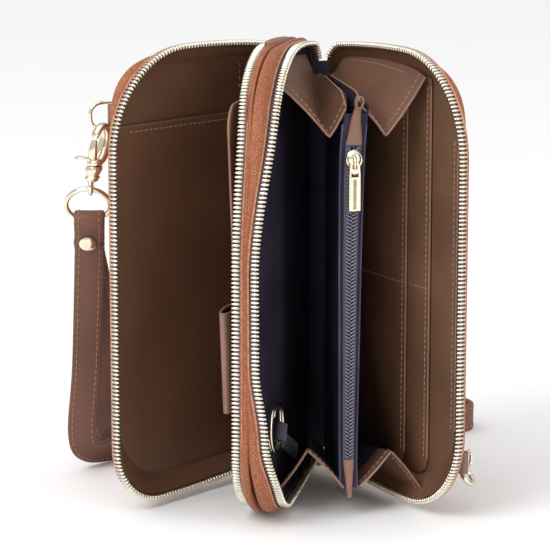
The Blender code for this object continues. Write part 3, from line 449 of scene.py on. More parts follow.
left_lean_stops = scaled(((10.0, 0.6), (45.0, 2.4), (110.0, 2.5), (160.0, 4.0), (194.0, 1.4)))
right_lean_stops = scaled((
    (14.0, -3.6), (40.0, 0.0), (72.0, 3.9), (110.0, 4.0), (170.0, -1.9), (190.0, -1.6),
))
left_lean = lean(left_lean_stops)
right_lean = lean(right_lean_stops)
# From the lip round to the face: grow, depth and the shares of corner, dip and swell.
divider_rim = (
    (lip_out - 1.2 * MM, lip_back + 0.4 * MM, 0.0, 1.0, 0.0),
    (lip_out - 0.7 * MM, lip_back - 0.3 * MM, 0.05, 1.0, 0.1),
    (lip_out - 0.2 * MM, lip_back + 1.0 * MM, 0.2, 0.8, 0.5),
    (lip_out - 0.3 * MM, lip_back + 2.7 * MM, 0.3, 0.6, 0.6),
    (lip_out - 1.6 * MM, halves_meet, 0.4, 0.5, 0.5),
    (-4.0 * MM, halves_meet, 0.5, 0.4, 0.3),
    (-8.0 * MM, divider_face, 1.0, 0.0, 0.0),
)
left_lean_shares = (1.0, 1.0, 0.9, 0.65, 0.42, 0.2, 0.0)
right_lean_shares = (1.0, 1.0, 0.9, 0.65, 0.35, 0.2, 0.0)


def divider_profile(shares):
    """The soft rim's rows, each with its share of the sideways lean."""
    rows = [row[:4] + (share,) + row[4:] for row, share in zip(divider_rim, shares)]
    return smooth_run(rows, 3)


tray("divider_left_leather", left_half, divider_corners, divider_profile(left_lean_shares), leather,
     left_lean, tan_pebbles, "divider", ("divider_left_shell", "divider_board"))
tray("divider_right_leather", right_half, divider_corners, divider_profile(right_lean_shares), leather,
     right_lean, tan_pebbles, "divider", ("divider_right_shell",))


# Zips
# Four rows of pale metal teeth, each tooth clamped over the corded edge of a woven
# tape. The tape is sewn inside the leather lip, which is turned over a thin tan welt.
def woven_tape(name, colour, dark, pitch=1.0):
    """Ribbed woven tape: fine cross ribs with a soft nap."""
    rib_scale = 900.0
    rib_deep = 0.1 * MM
    paint = Paint(name, {"Roughness": 0.8, "Sheen Weight": 0.25})
    wave = {"Vector": paint.place, "Scale": rib_scale * pitch, "Distortion": 0.6}
    up = paint.node("ShaderNodeTexWave", {"bands_direction": "Z"}, wave)
    over = paint.node("ShaderNodeTexWave", {"bands_direction": "DIAGONAL"}, wave)
    weave = up * 0.6 + over * 0.4
    paint.set({"Base Color": paint.mix(weave, dark, colour)})
    paint.relief(weave, rib_deep, 0.6)
    return paint.material


def polished_metal(name, colour, tint, rough):
    """Plated metal with faint tarnish and a slightly uneven polish."""
    dent_deep = 0.04 * MM
    paint = Paint(name, {"Metallic": 1.0})
    cloud = paint.spread(paint.blotches(180.0), 0.35, 0.7)
    paint.set({"Base Color": paint.mix(cloud, colour, tint)})
    paint.set({"Roughness": rough + 0.12 * cloud})
    paint.relief(paint.blotches(900.0), dent_deep, 0.5)
    return paint.material


def walk(line, step, start=0.0, stop=0.0):
    """Even steps along a (u, z) line: each gives the point and the direction there."""
    spots = [Vector(spot) for spot in line]
    total = sum((b - a).length for a, b in zip(spots, spots[1:]))
    places = []
    gone = 0.0
    at = start
    for a, b in zip(spots, spots[1:]):
        length = (b - a).length
        while at <= gone + length and at <= total - stop:
            places.append((a + (b - a) * ((at - gone) / length), (b - a) / length))
            at += step
        gone += length
    return places


def fuller(value, power):
    """A sine or cosine with its middle swelled, so that the round it draws is squarer."""
    return math.copysign(abs(value) ** power, value)


tooth_pitch = 1.72 * MM
tooth_half = 2.05 * MM
tooth_proud = 1.25 * MM
tooth_fat = 0.62 * MM
tooth_sides = 8
# Along a tooth, from its inner end to its outer one: the place and the girth there.
tooth_stops = (
    (-1.0, 0.0), (-0.93, 0.5), (-0.72, 0.82), (-0.3, 1.0),
    (0.3, 0.97), (0.72, 0.72), (0.92, 0.45), (1.0, 0.0),
)


def tooth(mesh, leaf, centre, spot, along):
    """One cast tooth: a fat bean across the tape's edge, a little slimmer at its outer end."""
    out = Vector((along[1], -along[0]))
    rings = []
    for place, girth in tooth_stops:
        ring = []
        for k in range(tooth_sides):
            a = 2.0 * math.pi * (k + 0.5) / tooth_sides
            proud = tooth_proud * girth**0.7 * fuller(math.cos(a), 0.8)
            fat = tooth_fat * girth * fuller(math.sin(a), 0.8)
            flat = spot + out * proud + along * fat
            ring.append(leaf @ Vector((flat[0], centre + place * tooth_half, flat[1])))
        rings.append(ring)
    inner = mesh.verts.new(sum(rings[0], Vector()) / tooth_sides)
    outer = mesh.verts.new(sum(rings[-1], Vector()) / tooth_sides)
    rows = [[mesh.verts.new(point) for point in ring] for ring in rings[1:-1]]
    for row, after in zip(rows, rows[1:]):
        for k in range(tooth_sides):
            n = (k + 1) % tooth_sides
            mesh.faces.new((row[k], row[n], after[n], after[k]))
    for k in range(tooth_sides):
        n = (k + 1) % tooth_sides
        mesh.faces.new((rows[0][k], rows[0][n], inner))
        mesh.faces.new((rows[-1][n], rows[-1][k], outer))


chain_metal = polished_metal("zip_teeth_metal", (0.86, 0.82, 0.71), (0.76, 0.70, 0.56), 0.2)
mauve_tape = woven_tape("mauve_zip_tape", (0.17, 0.13, 0.15), (0.08, 0.06, 0.07))
welt_deep = 0.1 * MM
welt_paint = Paint("tan_welt_leather", {"Roughness": 0.5})
welt_tone = welt_paint.spread(welt_paint.blotches(500.0), 0.3, 0.7)
welt_paint.set({"Base Color": welt_paint.mix(welt_tone, (0.36, 0.13, 0.065), (0.55, 0.24, 0.13))})
welt_paint.relief(welt_paint.blotches(2200.0), welt_deep, 0.6)
chain_start = 2.5 * MM
chain_stop = 3.0 * MM
tape_cord = 0.32 * MM
tape_near = 0.5 * MM
tape_bend = 1.2 * MM
tape_far = lip_back + 3.0 * MM
tucked_far = 4.2 * MM
tuck_start = 2.2 * MM
welt_round = 0.55 * MM
welt_sides = 8
welt_inset = 0.95 * MM


def zip_teeth(prefix, leaf, corners, centre, offset_share, shift, body):
    """A row of teeth along the zip edge, its start moved on by a share of a pitch."""
    mesh = bmesh.new()
    start = chain_start + offset_share * tooth_pitch
    for spot, along in walk(zip_line(corners), tooth_pitch, start, chain_stop):
        tooth(mesh, leaf, centre + shift(spot[0], spot[1]), spot, along)
    put(prefix + "_zip_teeth", mesh, chain_metal, body, "pale_gold", (prefix + "_teeth",), 70.0)


def zip_tape(prefix, leaf, corners, centre, shift, body, tuck):
    """The tape behind the teeth. A cover's slopes back inside the rim by tuck."""
    near = centre - tape_near
    far = tucked_far if tuck else tape_far
    slope = tuck * (far - tuck_start)
    section = (
        (tape_cord, near),
        (tape_cord, near + tape_bend),
        (tape_cord - slope, far),
        (-tape_cord - slope, far),
        (-tape_cord, near + tape_bend),
        (-tape_cord, near),
    )
    edges = [zip_line(corners, grow) for grow, depth in section]
    rings = []
    for spots in zip(*edges):
        ring = []
        for (u, z), (grow, depth) in zip(spots, section):
            ring.append(leaf @ Vector((u, depth + shift(u, z), z)))
        rings.append(ring)
    put(prefix + "_zip_tape", skin(bmesh.new(), rings), mauve_tape, body, "zip_tape", (prefix + "_tape",))


def zip_welt(prefix, leaf, corners, centre, shift, body, tuck):
    """The round welt between the teeth and the leather lip."""
    line = zip_line(corners, 0.0 if tuck else lip_out - welt_inset, 0.05, 1.0, 0.1)
    behind = centre + tooth_half + (0.1 if tuck else 0.55) * MM
    rings = []
    for k, (u, z) in enumerate(line):
        before = Vector(line[max(k - 1, 0)])
        after = Vector(line[min(k + 1, len(line) - 1)])
        along = (after - before).normalized()
        out = Vector((along[1], -along[0]))
        ring = []
        for n in range(welt_sides):
            a = 2.0 * math.pi * n / welt_sides
            spot = Vector((u, z)) + out * welt_round * math.cos(a)
            depth = behind + welt_round * math.sin(a)
            ring.append(leaf @ Vector((spot[0], depth + shift(u, z), spot[1])))
        rings.append(ring)
    put(prefix + "_zip_welt", skin(bmesh.new(), rings), welt_paint.material, body, "smooth_leather", (), 60.0)


cover_chain = 0.3 * MM
divider_chain = 0.9 * MM
for prefix, leaf, corners, centre, offset_share, shift, body, tuck in (
    ("left_cover", left_leaf, left_corners, cover_chain, 0.0, straight, "left_cover", left_tuck),
    ("right_cover", right_leaf, right_corners, cover_chain, 0.5, straight, "right_cover", right_tuck),
    ("divider_left", left_half, divider_corners, divider_chain, 0.5, left_lean, "divider", 0.0),
    ("divider_right", right_half, divider_corners, divider_chain, 0.0, right_lean, "divider", 0.0),
):
    zip_teeth(prefix, leaf, corners, centre, offset_share, shift, body)
    zip_tape(prefix, leaf, corners, centre, shift, body, tuck)
    zip_welt(prefix, leaf, corners, centre, shift, body, tuck)


# Linings
# Both covers are lined with thin smooth leather, which turns up inside the rim to
# the zip. The divider is lined with it on the left and with navy cloth on the right.
def smooth_leather(name, colour, deep, rough=0.42):
    """Corrected leather: a fine even grain, a soft satin shine and cloudy colour."""
    grain_scale = 3200.0
    fine_scale = 4200.0
    grain_deep = 0.05 * MM
    paint = Paint(name, {"Specular IOR Level": 0.35})
    cloud = paint.spread(paint.blotches(26.0, 4.0), 0.3, 0.72)
    cells = {"Vector": paint.place, "Scale": grain_scale}
    grain = paint.node("ShaderNodeTexVoronoi", {"feature": "F1"}, cells)
    fine = paint.blotches(fine_scale, 2.0)
    tone = paint.mix(cloud, deep, colour)
    dark = [tint * 0.72 for tint in deep]
    paint.set({"Base Color": paint.mix(0.35 * fine, tone, dark)})
    paint.set({"Roughness": rough + 0.1 * cloud + 0.08 * fine})
    paint.relief(fine * 0.6 + grain * 0.4, grain_deep, 0.55)
    return paint.material


def lining_weave(name, colour, deep):
    """Plain woven lining cloth with a faint slub."""
    thread_scale = 420.0
    thread_deep = 0.08 * MM
    paint = Paint(name, {"Roughness": 0.9, "Specular IOR Level": 0.08})
    threads = {"Vector": paint.place, "Scale": thread_scale, "Distortion": 0.4, "Detail": 1.0}
    warp = paint.node("ShaderNodeTexWave", {"bands_direction": "Y"}, threads)
    weft = paint.node("ShaderNodeTexWave", {"bands_direction": "Z"}, threads)
    weave = warp * 0.5 + weft * 0.5
    cloud = paint.spread(paint.blotches(30.0), 0.3, 0.7)
    tone = paint.mix(cloud, deep, colour)
    dark = [tint * 0.5 for tint in deep]
    paint.set({"Base Color": paint.mix(0.55 * (1 - weave), tone, dark)})
    paint.relief(weave, thread_deep, 0.5)
    return paint.material


brown_lining = smooth_leather("brown_lining_leather", (0.165, 0.077, 0.041), (0.13, 0.060, 0.031), 0.5)
navy_cloth = lining_weave("navy_lining_cloth", (0.036, 0.029, 0.048), (0.019, 0.015, 0.027))
lining = 0.7 * MM
cover_floor = 8.3 * MM
divider_floor = 5.4 * MM
lining_inset = 2.1 * MM
lining_deep = 2.2 * MM
lining_turn = 7.6 * MM
# Down inside the rim: depth, and the shares of corner, dip and swell there.
lining_stops = (
    (4.2 * MM, 0.5, 0.8, 0.5),
    (6.2 * MM, 0.8, 0.4, 0.6),
    (lining_turn, 1.0, 0.1, 0.3),
)


def cover_lining_profile(tuck):
    """The lining starts at the tape, runs down inside the rim and lies flat on the board."""
    rows = [
        (-1.0 * MM, 1.7 * MM, 0.0, 1.0, 0.0, 0.1),
        (-1.9 * MM, 2.4 * MM, 0.1, 1.0, 0.0, 0.2),
    ]
    for depth, corner, dip, swell in lining_stops:
        rows.append((-lining_inset - tuck * (depth - lining_deep), depth, corner, dip, 0.0, swell))
    turn_inset = lining_inset + tuck * (lining_turn - lining_deep)
    rows += [
        (-turn_inset - 3.5 * MM, cover_floor + 0.9 * lining, 1.0, 0.0, 0.0, 0.1),
        (-turn_inset - 8.0 * MM, cover_floor + lining, 1.0, 0.0, 0.0, 0.0),
        (-face_inset, cover_floor + lining, 1.0, 0.0, 0.0, 0.0),
    ]
    return smooth_run(rows, 3)


for cover, leaf, corners, tuck in covers:
    tray(cover + "_lining_leather", leaf, corners, cover_lining_profile(tuck), lining, straight, brown_lining,
         cover, (cover + "_lining",), "smooth_leather")
divider_lining_profile = smooth_run(
    (
        (lip_out - 1.7 * MM, lip_back + 0.8 * MM, 0.0, 1.0, 1.0, 0.2),
        (-3.0 * MM, lip_back + 0.9 * MM, 0.3, 0.7, 0.8, 0.1),
        (-9.0 * MM, divider_floor - 0.1 * MM, 0.9, 0.2, 0.3, 0.0),
        (-20.0 * MM, divider_floor, 1.0, 0.0, 0.1, 0.0),
        (-face_inset, divider_floor, 1.0, 0.0, 0.0, 0.0),
    ),
    3,
)
tray("divider_left_lining_leather", left_half, divider_corners, divider_lining_profile, lining, left_lean,
     brown_lining, "divider", ("divider_left_lining",), "smooth_leather")
tray("divider_right_lining_cloth", right_half, divider_corners, divider_lining_profile, lining, right_lean,
     navy_cloth, "divider", ("divider_right_lining",), "navy_cloth")


# Phone pocket
# A flat leather panel sewn over the lining of the left cover. Its open top edge is
# turned and stitched, and the lining above it carries a second seam.
panel_run_steps = 12
panel_turn_steps = 10
panel_rise_steps = 20


def panel_outline(back, front, low, high, corner_low, corner_high):
    """A panel in (u, z), square at the spine and rounded in front, with short straight steps."""
    top_end = front - corner_high
    foot_end = front - corner_low
    upper = high - corner_high
    lower = low + corner_low
    outline = []
    for k in range(panel_run_steps):
        outline.append((back + (top_end - back) * k / panel_run_steps, high))
    for k in range(panel_turn_steps + 1):
        a = math.pi / 2 * k / panel_turn_steps
        outline.append((top_end + corner_high * math.sin(a), upper + corner_high * math.cos(a)))
    for k in range(1, panel_rise_steps):
        outline.append((front, upper + (lower - upper) * k / panel_rise_steps))
    for k in range(panel_turn_steps + 1):
        a = math.pi / 2 * k / panel_turn_steps
        outline.append((foot_end + corner_low * math.cos(a), lower - corner_low * math.sin(a)))
    for k in range(1, panel_run_steps + 1):
        outline.append((foot_end + (back - foot_end) * k / panel_run_steps, low))
    for k in range(1, panel_rise_steps):
        outline.append((back, low + (high - low) * k / panel_rise_steps))
    return outline


def inset_loop(outline, step):
    """A closed outline moved inwards, each point along its own normal."""
    spots = [Vector(spot) for spot in outline]
    count = len(spots)
    area = sum(spots[k - 1].x * spots[k].y - spots[k - 1].y * spots[k].x for k in range(count))
    inward = math.copysign(step, area)
    moved = []
    for k, here in enumerate(spots):
        first = (here - spots[k - 1]).normalized()
        second = (spots[(k + 1) % count] - here).normalized()
        along = (first + second).normalized()
        stretch = inward / max(0.5, along.dot(first))
        moved.append((here.x - along.y * stretch, here.y + along.x * stretch))
    return moved


panel_edge = 0.3 * MM
# The crown of a padded panel: the step in from its edge, and the share of its rise.
crown_stops = ((0.9 * MM, 0.35), (2.0 * MM, 0.7), (3.4 * MM, 1.0))


def panel(name, leaf, outline, face, back, crown, finish, body, nodes):
    """A leather panel: face is the depth of its open side, which bulges by crown."""
    toward = math.copysign(1.0, face - back)
    levels = [
        (panel_edge, back),
        (0.0, back + toward * panel_edge),
        (0.0, face - toward * panel_edge),
        (panel_edge, face),
    ]
    if crown:
        levels += [(inset, face + toward * crown * share) for inset, share in crown_stops]
    rings = []
    for inset, depth in levels:
        loop = inset_loop(outline, inset) if inset else outline
        rings.append([leaf @ Vector((u, depth, z)) for u, z in loop])
    return put(name, skin(bmesh.new(), rings), finish, body, "smooth_leather", nodes, 50.0)


def mottled(name, constants, scale, first, second):
    """A plain finish whose colour wanders between two tones."""
    paint = Paint(name, constants)
    paint.set({"Base Color": paint.mix(paint.blotches(scale), first, second)})
    return paint.material


brown_thread = mottled("brown_thread", {"Roughness": 0.6, "Sheen Weight": 0.3}, 1800.0,
                       (0.25, 0.145, 0.09), (0.42, 0.26, 0.17))
# Along a stitch: the share of its length, and of its thickness there.
stitch_stops = ((-0.5, 0.25), (-0.38, 0.85), (0.0, 1.0), (0.38, 0.85), (0.5, 0.25))
stitch_sides = 6


def round_ring(centre, across, up, radius, count):
    """Points evenly round a centre, in the plane of two directions."""
    ring = []
    for k in range(count):
        t = 2.0 * math.pi * k / count
        ring.append(centre + (across * math.cos(t) + up * math.sin(t)) * radius)
    return ring


def stitches(name, rows, body, pitch=2.9 * MM, length=1.9 * MM, thick=0.27 * MM):
    """Sewn seams: short threads along each row of points, half sunk in the leather."""
    mesh = bmesh.new()
    for row in rows:
        spots = [Vector(spot) for spot in row]
        total = sum((b - a).length for a, b in zip(spots, spots[1:]))
        count = max(1, int(total / pitch))
        marks = [(k + 0.5) * total / count for k in range(count)]
        gone = 0.0
        for a, b in zip(spots, spots[1:]):
            size = (b - a).length
            along = (b - a).normalized()
            side = along.orthogonal().normalized()
            up = along.cross(side)
            while marks and marks[0] <= gone + size:
                middle = a + along * (marks.pop(0) - gone)
                rings = []
                for step, girth in stitch_stops:
                    centre = middle + along * step * length
                    rings.append(round_ring(centre, side, up, thick * girth, stitch_sides))
                skin(mesh, rings)
            gone += size
    return put(name, mesh, brown_thread, body, "smooth_leather", (), 60.0)


def on_leaf(leaf, line, depth):
    """Points of a leaf's own (u, z) plane at one depth, in the frame."""
    return [leaf @ Vector((u, depth, z)) for u, z in line]


def bead(name, rows, radius, finish, body, slot="smooth_leather"):
    """A rounded edge: a thin tube along each row of points."""
    mesh = bmesh.new()
    for row in rows:
        spots = [Vector(spot) for spot in row]
        rings = []
        side = None
        for k, spot in enumerate(spots):
            along = (spots[min(k + 1, len(spots) - 1)] - spots[max(k - 1, 0)]).normalized()
            side = along.orthogonal() if side is None else side - along * side.dot(along)
            side.normalize()
            rings.append(round_ring(spot, side, along.cross(side), radius, 8))
        skin(mesh, rings)
    return put(name, mesh, finish, body, slot, (), 60.0)


phone_panel = smooth_leather("phone_pocket_leather", (0.155, 0.071, 0.038), (0.12, 0.055, 0.029), 0.4)
pocket_edge_paint = smooth_leather("painted_pocket_edge", (0.22, 0.11, 0.07), (0.16, 0.08, 0.05), 0.45)
phone_back = 8.0 * MM
phone_mouth = 162.0 * MM
phone_mouth_run = 89.0 * MM
phone_mouth_rise = 1.6 * MM
phone_corner = (zip_reach - 7.8 * MM, 163.8 * MM)
phone_inset = 7.7 * MM
phone_split = 60.0 * MM
phone_face = 6.9 * MM
phone_floor = 7.6 * MM
phone_crown = 0.4 * MM
hem_drop = 2.4 * MM
phone_outline = []
for k in range(panel_run_steps):
    share = k / panel_run_steps
    phone_outline.append((phone_back + phone_mouth_run * share, phone_mouth + phone_mouth_rise * share))
phone_outline.append(phone_corner)
rim_line = zip_line(left_corners, -phone_inset, 0.6, 0.2)
phone_outline += [(u, z) for u, z in rim_line if u > phone_split and z < phone_mouth - 1.0 * MM]
foot_line = [(u, z) for u, z in rim_line if phone_back + 0.5 * MM < u <= phone_split and z < phone_split]
phone_outline += foot_line
foot_z = foot_line[-1][1]
for k in range(panel_rise_steps):
    phone_outline.append((phone_back, foot_z + (phone_mouth + 1.0 * MM - foot_z) * k / panel_rise_steps))

panel("phone_pocket_panel", left_leaf, phone_outline, phone_face, phone_floor, phone_crown, phone_panel,
      "left_cover", ("phone_pocket",))
hem = [(u, z - hem_drop) for u, z in phone_outline[:panel_run_steps]]
stitches("phone_pocket_seam", [on_leaf(left_leaf, hem, 6.55 * MM)], "left_cover")
top_seam = scaled(((79.0, 185.2), (22.0, 184.6), (20.5, 183.0), (20.5, 172.0)))
stitches("left_cover_top_seam", [on_leaf(left_leaf, top_seam, 8.2 * MM)], "left_cover")
mouth_line = on_leaf(left_leaf, phone_outline[:panel_run_steps + 1], 7.2 * MM)
bead("phone_pocket_edge", [mouth_line], 0.45 * MM, pocket_edge_paint, "left_cover")


# Card pockets
# Three stepped leather panels on the right cover, the one nearest the spine on top.
# Each front edge is painted and stitched, and one cross seam parts upper from lower.
edge_paint = smooth_leather("painted_leather_edge", (0.36, 0.20, 0.13), (0.26, 0.14, 0.09), 0.45)
card_leather = smooth_leather("card_pocket_leather", (0.175, 0.083, 0.043), (0.11, 0.052, 0.027))
card_back = 10.0 * MM
card_low = 13.8 * MM
card_high = 184.0 * MM
card_thick = 0.95 * MM
card_middle = 100.0 * MM
card_seam_inset = 2.3 * MM
cross_seam = 95.0 * MM
# Front edge, foot corner, head corner, where the seam starts below the top, and depth.
card_layers = (
    ("card_pocket_3", 92.0 * MM, 24.0 * MM, 24.0 * MM, 24.0 * MM, 8.0 * MM),
    ("card_pocket_2", 74.0 * MM, 8.0 * MM, 2.0 * MM, 3.5 * MM, 6.8 * MM),
    ("card_pocket_1", 58.5 * MM, 8.0 * MM, 2.0 * MM, 3.5 * MM, 5.6 * MM),
)
seams = []
edges = []
for node, front, foot_corner, head_corner, seam_start, depth in card_layers:
    face = depth - card_thick
    outline = panel_outline(card_back, front, card_low, card_high, foot_corner, head_corner)
    panel(node + "_panel", right_leaf, outline, face, depth, 0.0, card_leather, "right_cover", (node,))
    run = [(front, card_high - seam_start), (front, card_middle), (front, card_low + foot_corner)]
    edges.append(on_leaf(right_leaf, run, face + 0.25 * MM))
    seams.append(on_leaf(right_leaf, [(u - card_seam_inset, z) for u, z in run], face))
for start, stop, face in ((24.0 * MM, 58.0 * MM, 4.65 * MM), (59.5 * MM, 73.0 * MM, 5.85 * MM)):
    seams.append(on_leaf(right_leaf, [(start, cross_seam), (stop, cross_seam)], face))
stitches("card_pocket_seams", seams, "right_cover", pitch=2.6 * MM)
bead("card_pocket_edges", edges, 0.42 * MM, edge_paint, "right_cover")


# Document page and pen loop
# A stiff leather page leans against the divider's lining, and a pen loop of the
# same leather, lined with navy cloth, is sewn flat to its face near the front.
page_leather = smooth_leather("document_page_leather", (0.18, 0.085, 0.052), (0.115, 0.054, 0.032))
page_lean = math.radians(2.1)
page_depth = 4.6 * MM
page_low = 14.0 * MM
page_back = 9.0 * MM
page_front = 96.0 * MM
page_high = 162.0 * MM
page_foot_corner = 26.0 * MM
page_head_corner = 10.0 * MM
page_thick = 1.4 * MM
page_crown = 0.5 * MM
page_frame = left_half @ Matrix.Translation((0.0, page_depth, page_low)) @ Matrix.Rotation(page_lean, 4, "X")
page_outline = panel_outline(page_back, page_front, 0.0, page_high, page_foot_corner, page_head_corner)
page_edge_count = 62
panel("document_page_panel", page_frame, page_outline, -page_thick, 0.0, page_crown, page_leather, "divider",
      ("document_page",))
page_edge = on_leaf(page_frame, page_outline[:page_edge_count], -page_thick / 2)
bead("document_page_edge", [page_edge], 0.5 * MM, edge_paint, "divider")
pen_middle = 92.0 * MM
pen_low = 37.0 * MM
pen_high = 79.0 * MM
pen_reach = 9.6 * MM
pen_deep = 2.9 * MM
pen_depth = 4.8 * MM
pen_steps = 32
# Insets and heights of the loop's wall, from its outer foot over the mouth and back inside.
pen_wall = (
    (0.0, pen_low),
    (0.0, pen_high - 0.3 * MM),
    (0.3 * MM, pen_high),
    (0.9 * MM, pen_high - 0.2 * MM),
    (1.0 * MM, pen_low),
    (0.0, pen_low),
)
pen_inside = (
    (1.05 * MM, pen_low + 0.5 * MM),
    (1.05 * MM, pen_high - 1.0 * MM),
    (1.25 * MM, pen_high - 1.0 * MM),
    (1.25 * MM, pen_low + 0.5 * MM),
    (1.05 * MM, pen_low + 0.5 * MM),
)


def pen_tube(stops):
    """A flattened tube on the page's face through its insets and heights."""
    rings = []
    for inset, height in stops:
        ring = []
        for k in range(pen_steps):
            a = 2.0 * math.pi * k / pen_steps
            u = pen_middle + (pen_reach - inset) * fuller(math.cos(a), 0.9)
            depth = -pen_depth - (pen_deep - inset) * math.sin(a)
            ring.append(page_frame @ Vector((u, depth, height)))
        rings.append(ring)
    return skin(bmesh.new(), rings, True, False)


pen_leather = smooth_leather("pen_loop_leather", (0.30, 0.165, 0.125), (0.22, 0.12, 0.09))
put("pen_loop_leather", pen_tube(pen_wall), pen_leather, "divider", "strap_leather", ("pen_loop",))
put("pen_loop_lining", pen_tube(pen_inside), navy_cloth, "divider", "navy_cloth")


# Key ring
# A split ring of spring wire, held against the navy cloth by a folded ribbon that is
# sewn into the divider's back seam. It swings a little with the keys.
gold = polished_metal("pale_gold_plate", (0.90, 0.83, 0.66), (0.80, 0.70, 0.50), 0.13)
wire_sides = 10


def wire(name, points, radius, body, nodes=(), closed=True):
    """Round plated wire, bent through points into a ring or an open run."""
    count = len(points)
    rings = []
    side = None
    for k, point in enumerate(points):
        before = points[k - 1] if closed or k else point
        after = points[(k + 1) % count] if closed or k < count - 1 else point
        along = (after - before).normalized()
        side = along.orthogonal() if side is None else side - along * side.dot(along)
        side.normalize()
        rings.append(round_ring(point, side, along.cross(side), radius, wire_sides))
    if not closed:
        return put(name, skin(bmesh.new(), rings), gold, body, "pale_gold", nodes, 60.0)
    first = rings[0]
    turn = min(range(wire_sides), key=lambda k: (first[k] - rings[-1][0]).length)
    rings.append(first[turn:] + first[:turn])
    mesh = skin(bmesh.new(), rings, True, False)
    bmesh.ops.remove_doubles(mesh, verts=mesh.verts, dist=radius * 0.001)
    return put(name, mesh, gold, body, "pale_gold", nodes, 60.0)


key_wire = 0.7 * MM
key_radius = 9.9 * MM
key_u = 79.0 * MM
key_z = 40.0 * MM
key_depth = 2.1 * MM
key_wind = 1.9 * MM
key_start = math.radians(40.0)
key_count = 90
key_turn_steps = 48
key_points = []
for k in range(key_count):
    t = 2.0 * math.pi * k / key_turn_steps + key_start
    depth = key_depth + (k / (key_count - 1) - 0.5) * key_wind
    spot = Vector((key_u + key_radius * math.cos(t), depth, key_z + key_radius * math.sin(t)))
    key_points.append(right_half @ spot)
wire("split_key_ring", key_points, key_wire, "keys", ("key_ring",), closed=False)

ribbon_slope = math.radians(26.0)
ribbon_half = 3.5 * MM
ribbon_thick = 0.6 * MM
ribbon_fold = 2.2 * MM
ribbon_run = Vector((math.cos(ribbon_slope), math.sin(ribbon_slope)))
ribbon_across = Vector((-ribbon_run[1], ribbon_run[0]))
ribbon_eye = Vector((key_u, key_z)) - ribbon_run * key_radius


def band(name, path, across, thick, finish, body, slot, nodes=()):
    """A flat band along a path of (a, b, half width) points; across places (a, b, c)."""
    rings = []
    for k, (a, b, half) in enumerate(path):
        before = path[max(k - 1, 0)]
        after = path[min(k + 1, len(path) - 1)]
        along = Vector((after[0] - before[0], after[1] - before[1])).normalized()
        rise = Vector((-along[1], along[0])) * thick / 2
        wide = half + 0.2 * thick
        section = ((1.0, -half), (1.0, half), (0.6, wide), (-0.6, wide))
        section += ((-1.0, half), (-1.0, -half), (-0.6, -wide), (0.6, -wide))
        rings.append([across(a + rise[0] * s, b + rise[1] * s, c) for s, c in section])
    return put(name, skin(bmesh.new(), rings), finish, body, slot, nodes, 50.0)


ribbon_path = [(-46.0 * MM, -2.2 * MM, ribbon_half), (-24.0 * MM, -2.3 * MM, ribbon_half)]
for k in range(11):
    t = math.radians(-90.0 + 240.0 * k / 10)
    ribbon_path.append((ribbon_fold * math.cos(t), ribbon_fold * math.sin(t), ribbon_half))


def ribbon_point(a, b, c):
    """A point of the ribbon: a along it, b off the cloth and c across."""
    spot = ribbon_eye + ribbon_run * a + ribbon_across * c
    return right_half @ Vector((spot[0], key_depth - b, spot[1]))


navy_ribbon = woven_tape("navy_ribbon", (0.075, 0.07, 0.11), (0.03, 0.028, 0.05), 1.3)
band("key_ribbon_band", ribbon_path, ribbon_point, ribbon_thick, navy_ribbon, "divider", "navy_cloth",
     ("key_ribbon",))


# Coin pocket
# Two cloth-covered panels joined in front by a coil zip. Short leather tabs close
# the zip's ends, and a small loop stands on the upper one.
coin_open = right_open / 2
coin_leaf = leaf_frame(hinge_side, coin_open, 1.0)
coin_back = 16.0 * MM
coin_front = 74.0 * MM
coin_low = 12.4 * MM
coin_high = 178.0 * MM
coin_zip_low = 25.0 * MM
coin_zip_high = 159.0 * MM
sway_stops = scaled((
    (8.0, -1.2), (25.0, -1.6), (100.0, -1.3), (140.0, -0.9), (155.0, -0.4), (166.0, 0.4), (178.0, 1.9),
))
narrow_share = 0.3
narrow_high = 150.0 * MM
narrow_run = 125.0 * MM


def coin_point(u, v, z):
    """A point of the coin pocket. Its soft front edge sways sideways and narrows downwards."""
    ahead = max(0.0, (u - coin_back) / (coin_front - coin_back)) ** 2
    narrow = 1.0 - narrow_share * ahead * max(0.0, min(1.0, (narrow_high - z) / narrow_run))
    return coin_leaf @ Vector((u, v * narrow + eased(sway_stops, z) * ahead, z))


# A lighter copy of the navy lining cloth: painted light where light falls on the coin pocket.
lit_coin_cloth = lining_weave("coin_pocket_cloth_painted_light", (0.050, 0.044, 0.070), (0.028, 0.024, 0.042))
coin_waist = 1.2 * MM
coin_widening = 1.8 * MM
coin_shoulder = 2.0 * MM
coin_lip = 1.2 * MM
coin_belly = 0.9 * MM
coin_wall = 0.7 * MM
coin_steps = 16
drop_run = 14.0 * MM
drop_deep = 5.0 * MM


def coin_drop(u):
    """How far the pocket's top edge falls away near its front."""
    return drop_deep * max(0.0, (u - coin_front + drop_run) / drop_run) ** 1.5


for name, side in (("coin_panel_left", -1.0), ("coin_panel_right", 1.0)):
    rings = []
    for k in range(coin_steps + 1):
        t = k / coin_steps
        u = coin_back + (coin_front - coin_lip - coin_back) * t
        half = coin_waist + coin_widening * t + coin_shoulder * t**5
        belly = coin_belly * math.sin(math.pi * t)
        high = coin_high - coin_drop(u)
        heights = [coin_low + (high - coin_low) * n / coin_steps for n in range(coin_steps + 1)]
        ring = []
        for n, z in enumerate(heights):
            ring.append(coin_point(u, side * (half + belly * math.sin(math.pi * n / coin_steps)), z))
        for z in reversed(heights):
            ring.append(coin_point(u, side * (half - coin_wall), z))
        rings.append(ring)
    put(name + "_cloth", skin(bmesh.new(), rings), lit_coin_cloth, "coin_pocket", "navy_cloth", (name,), 50.0)


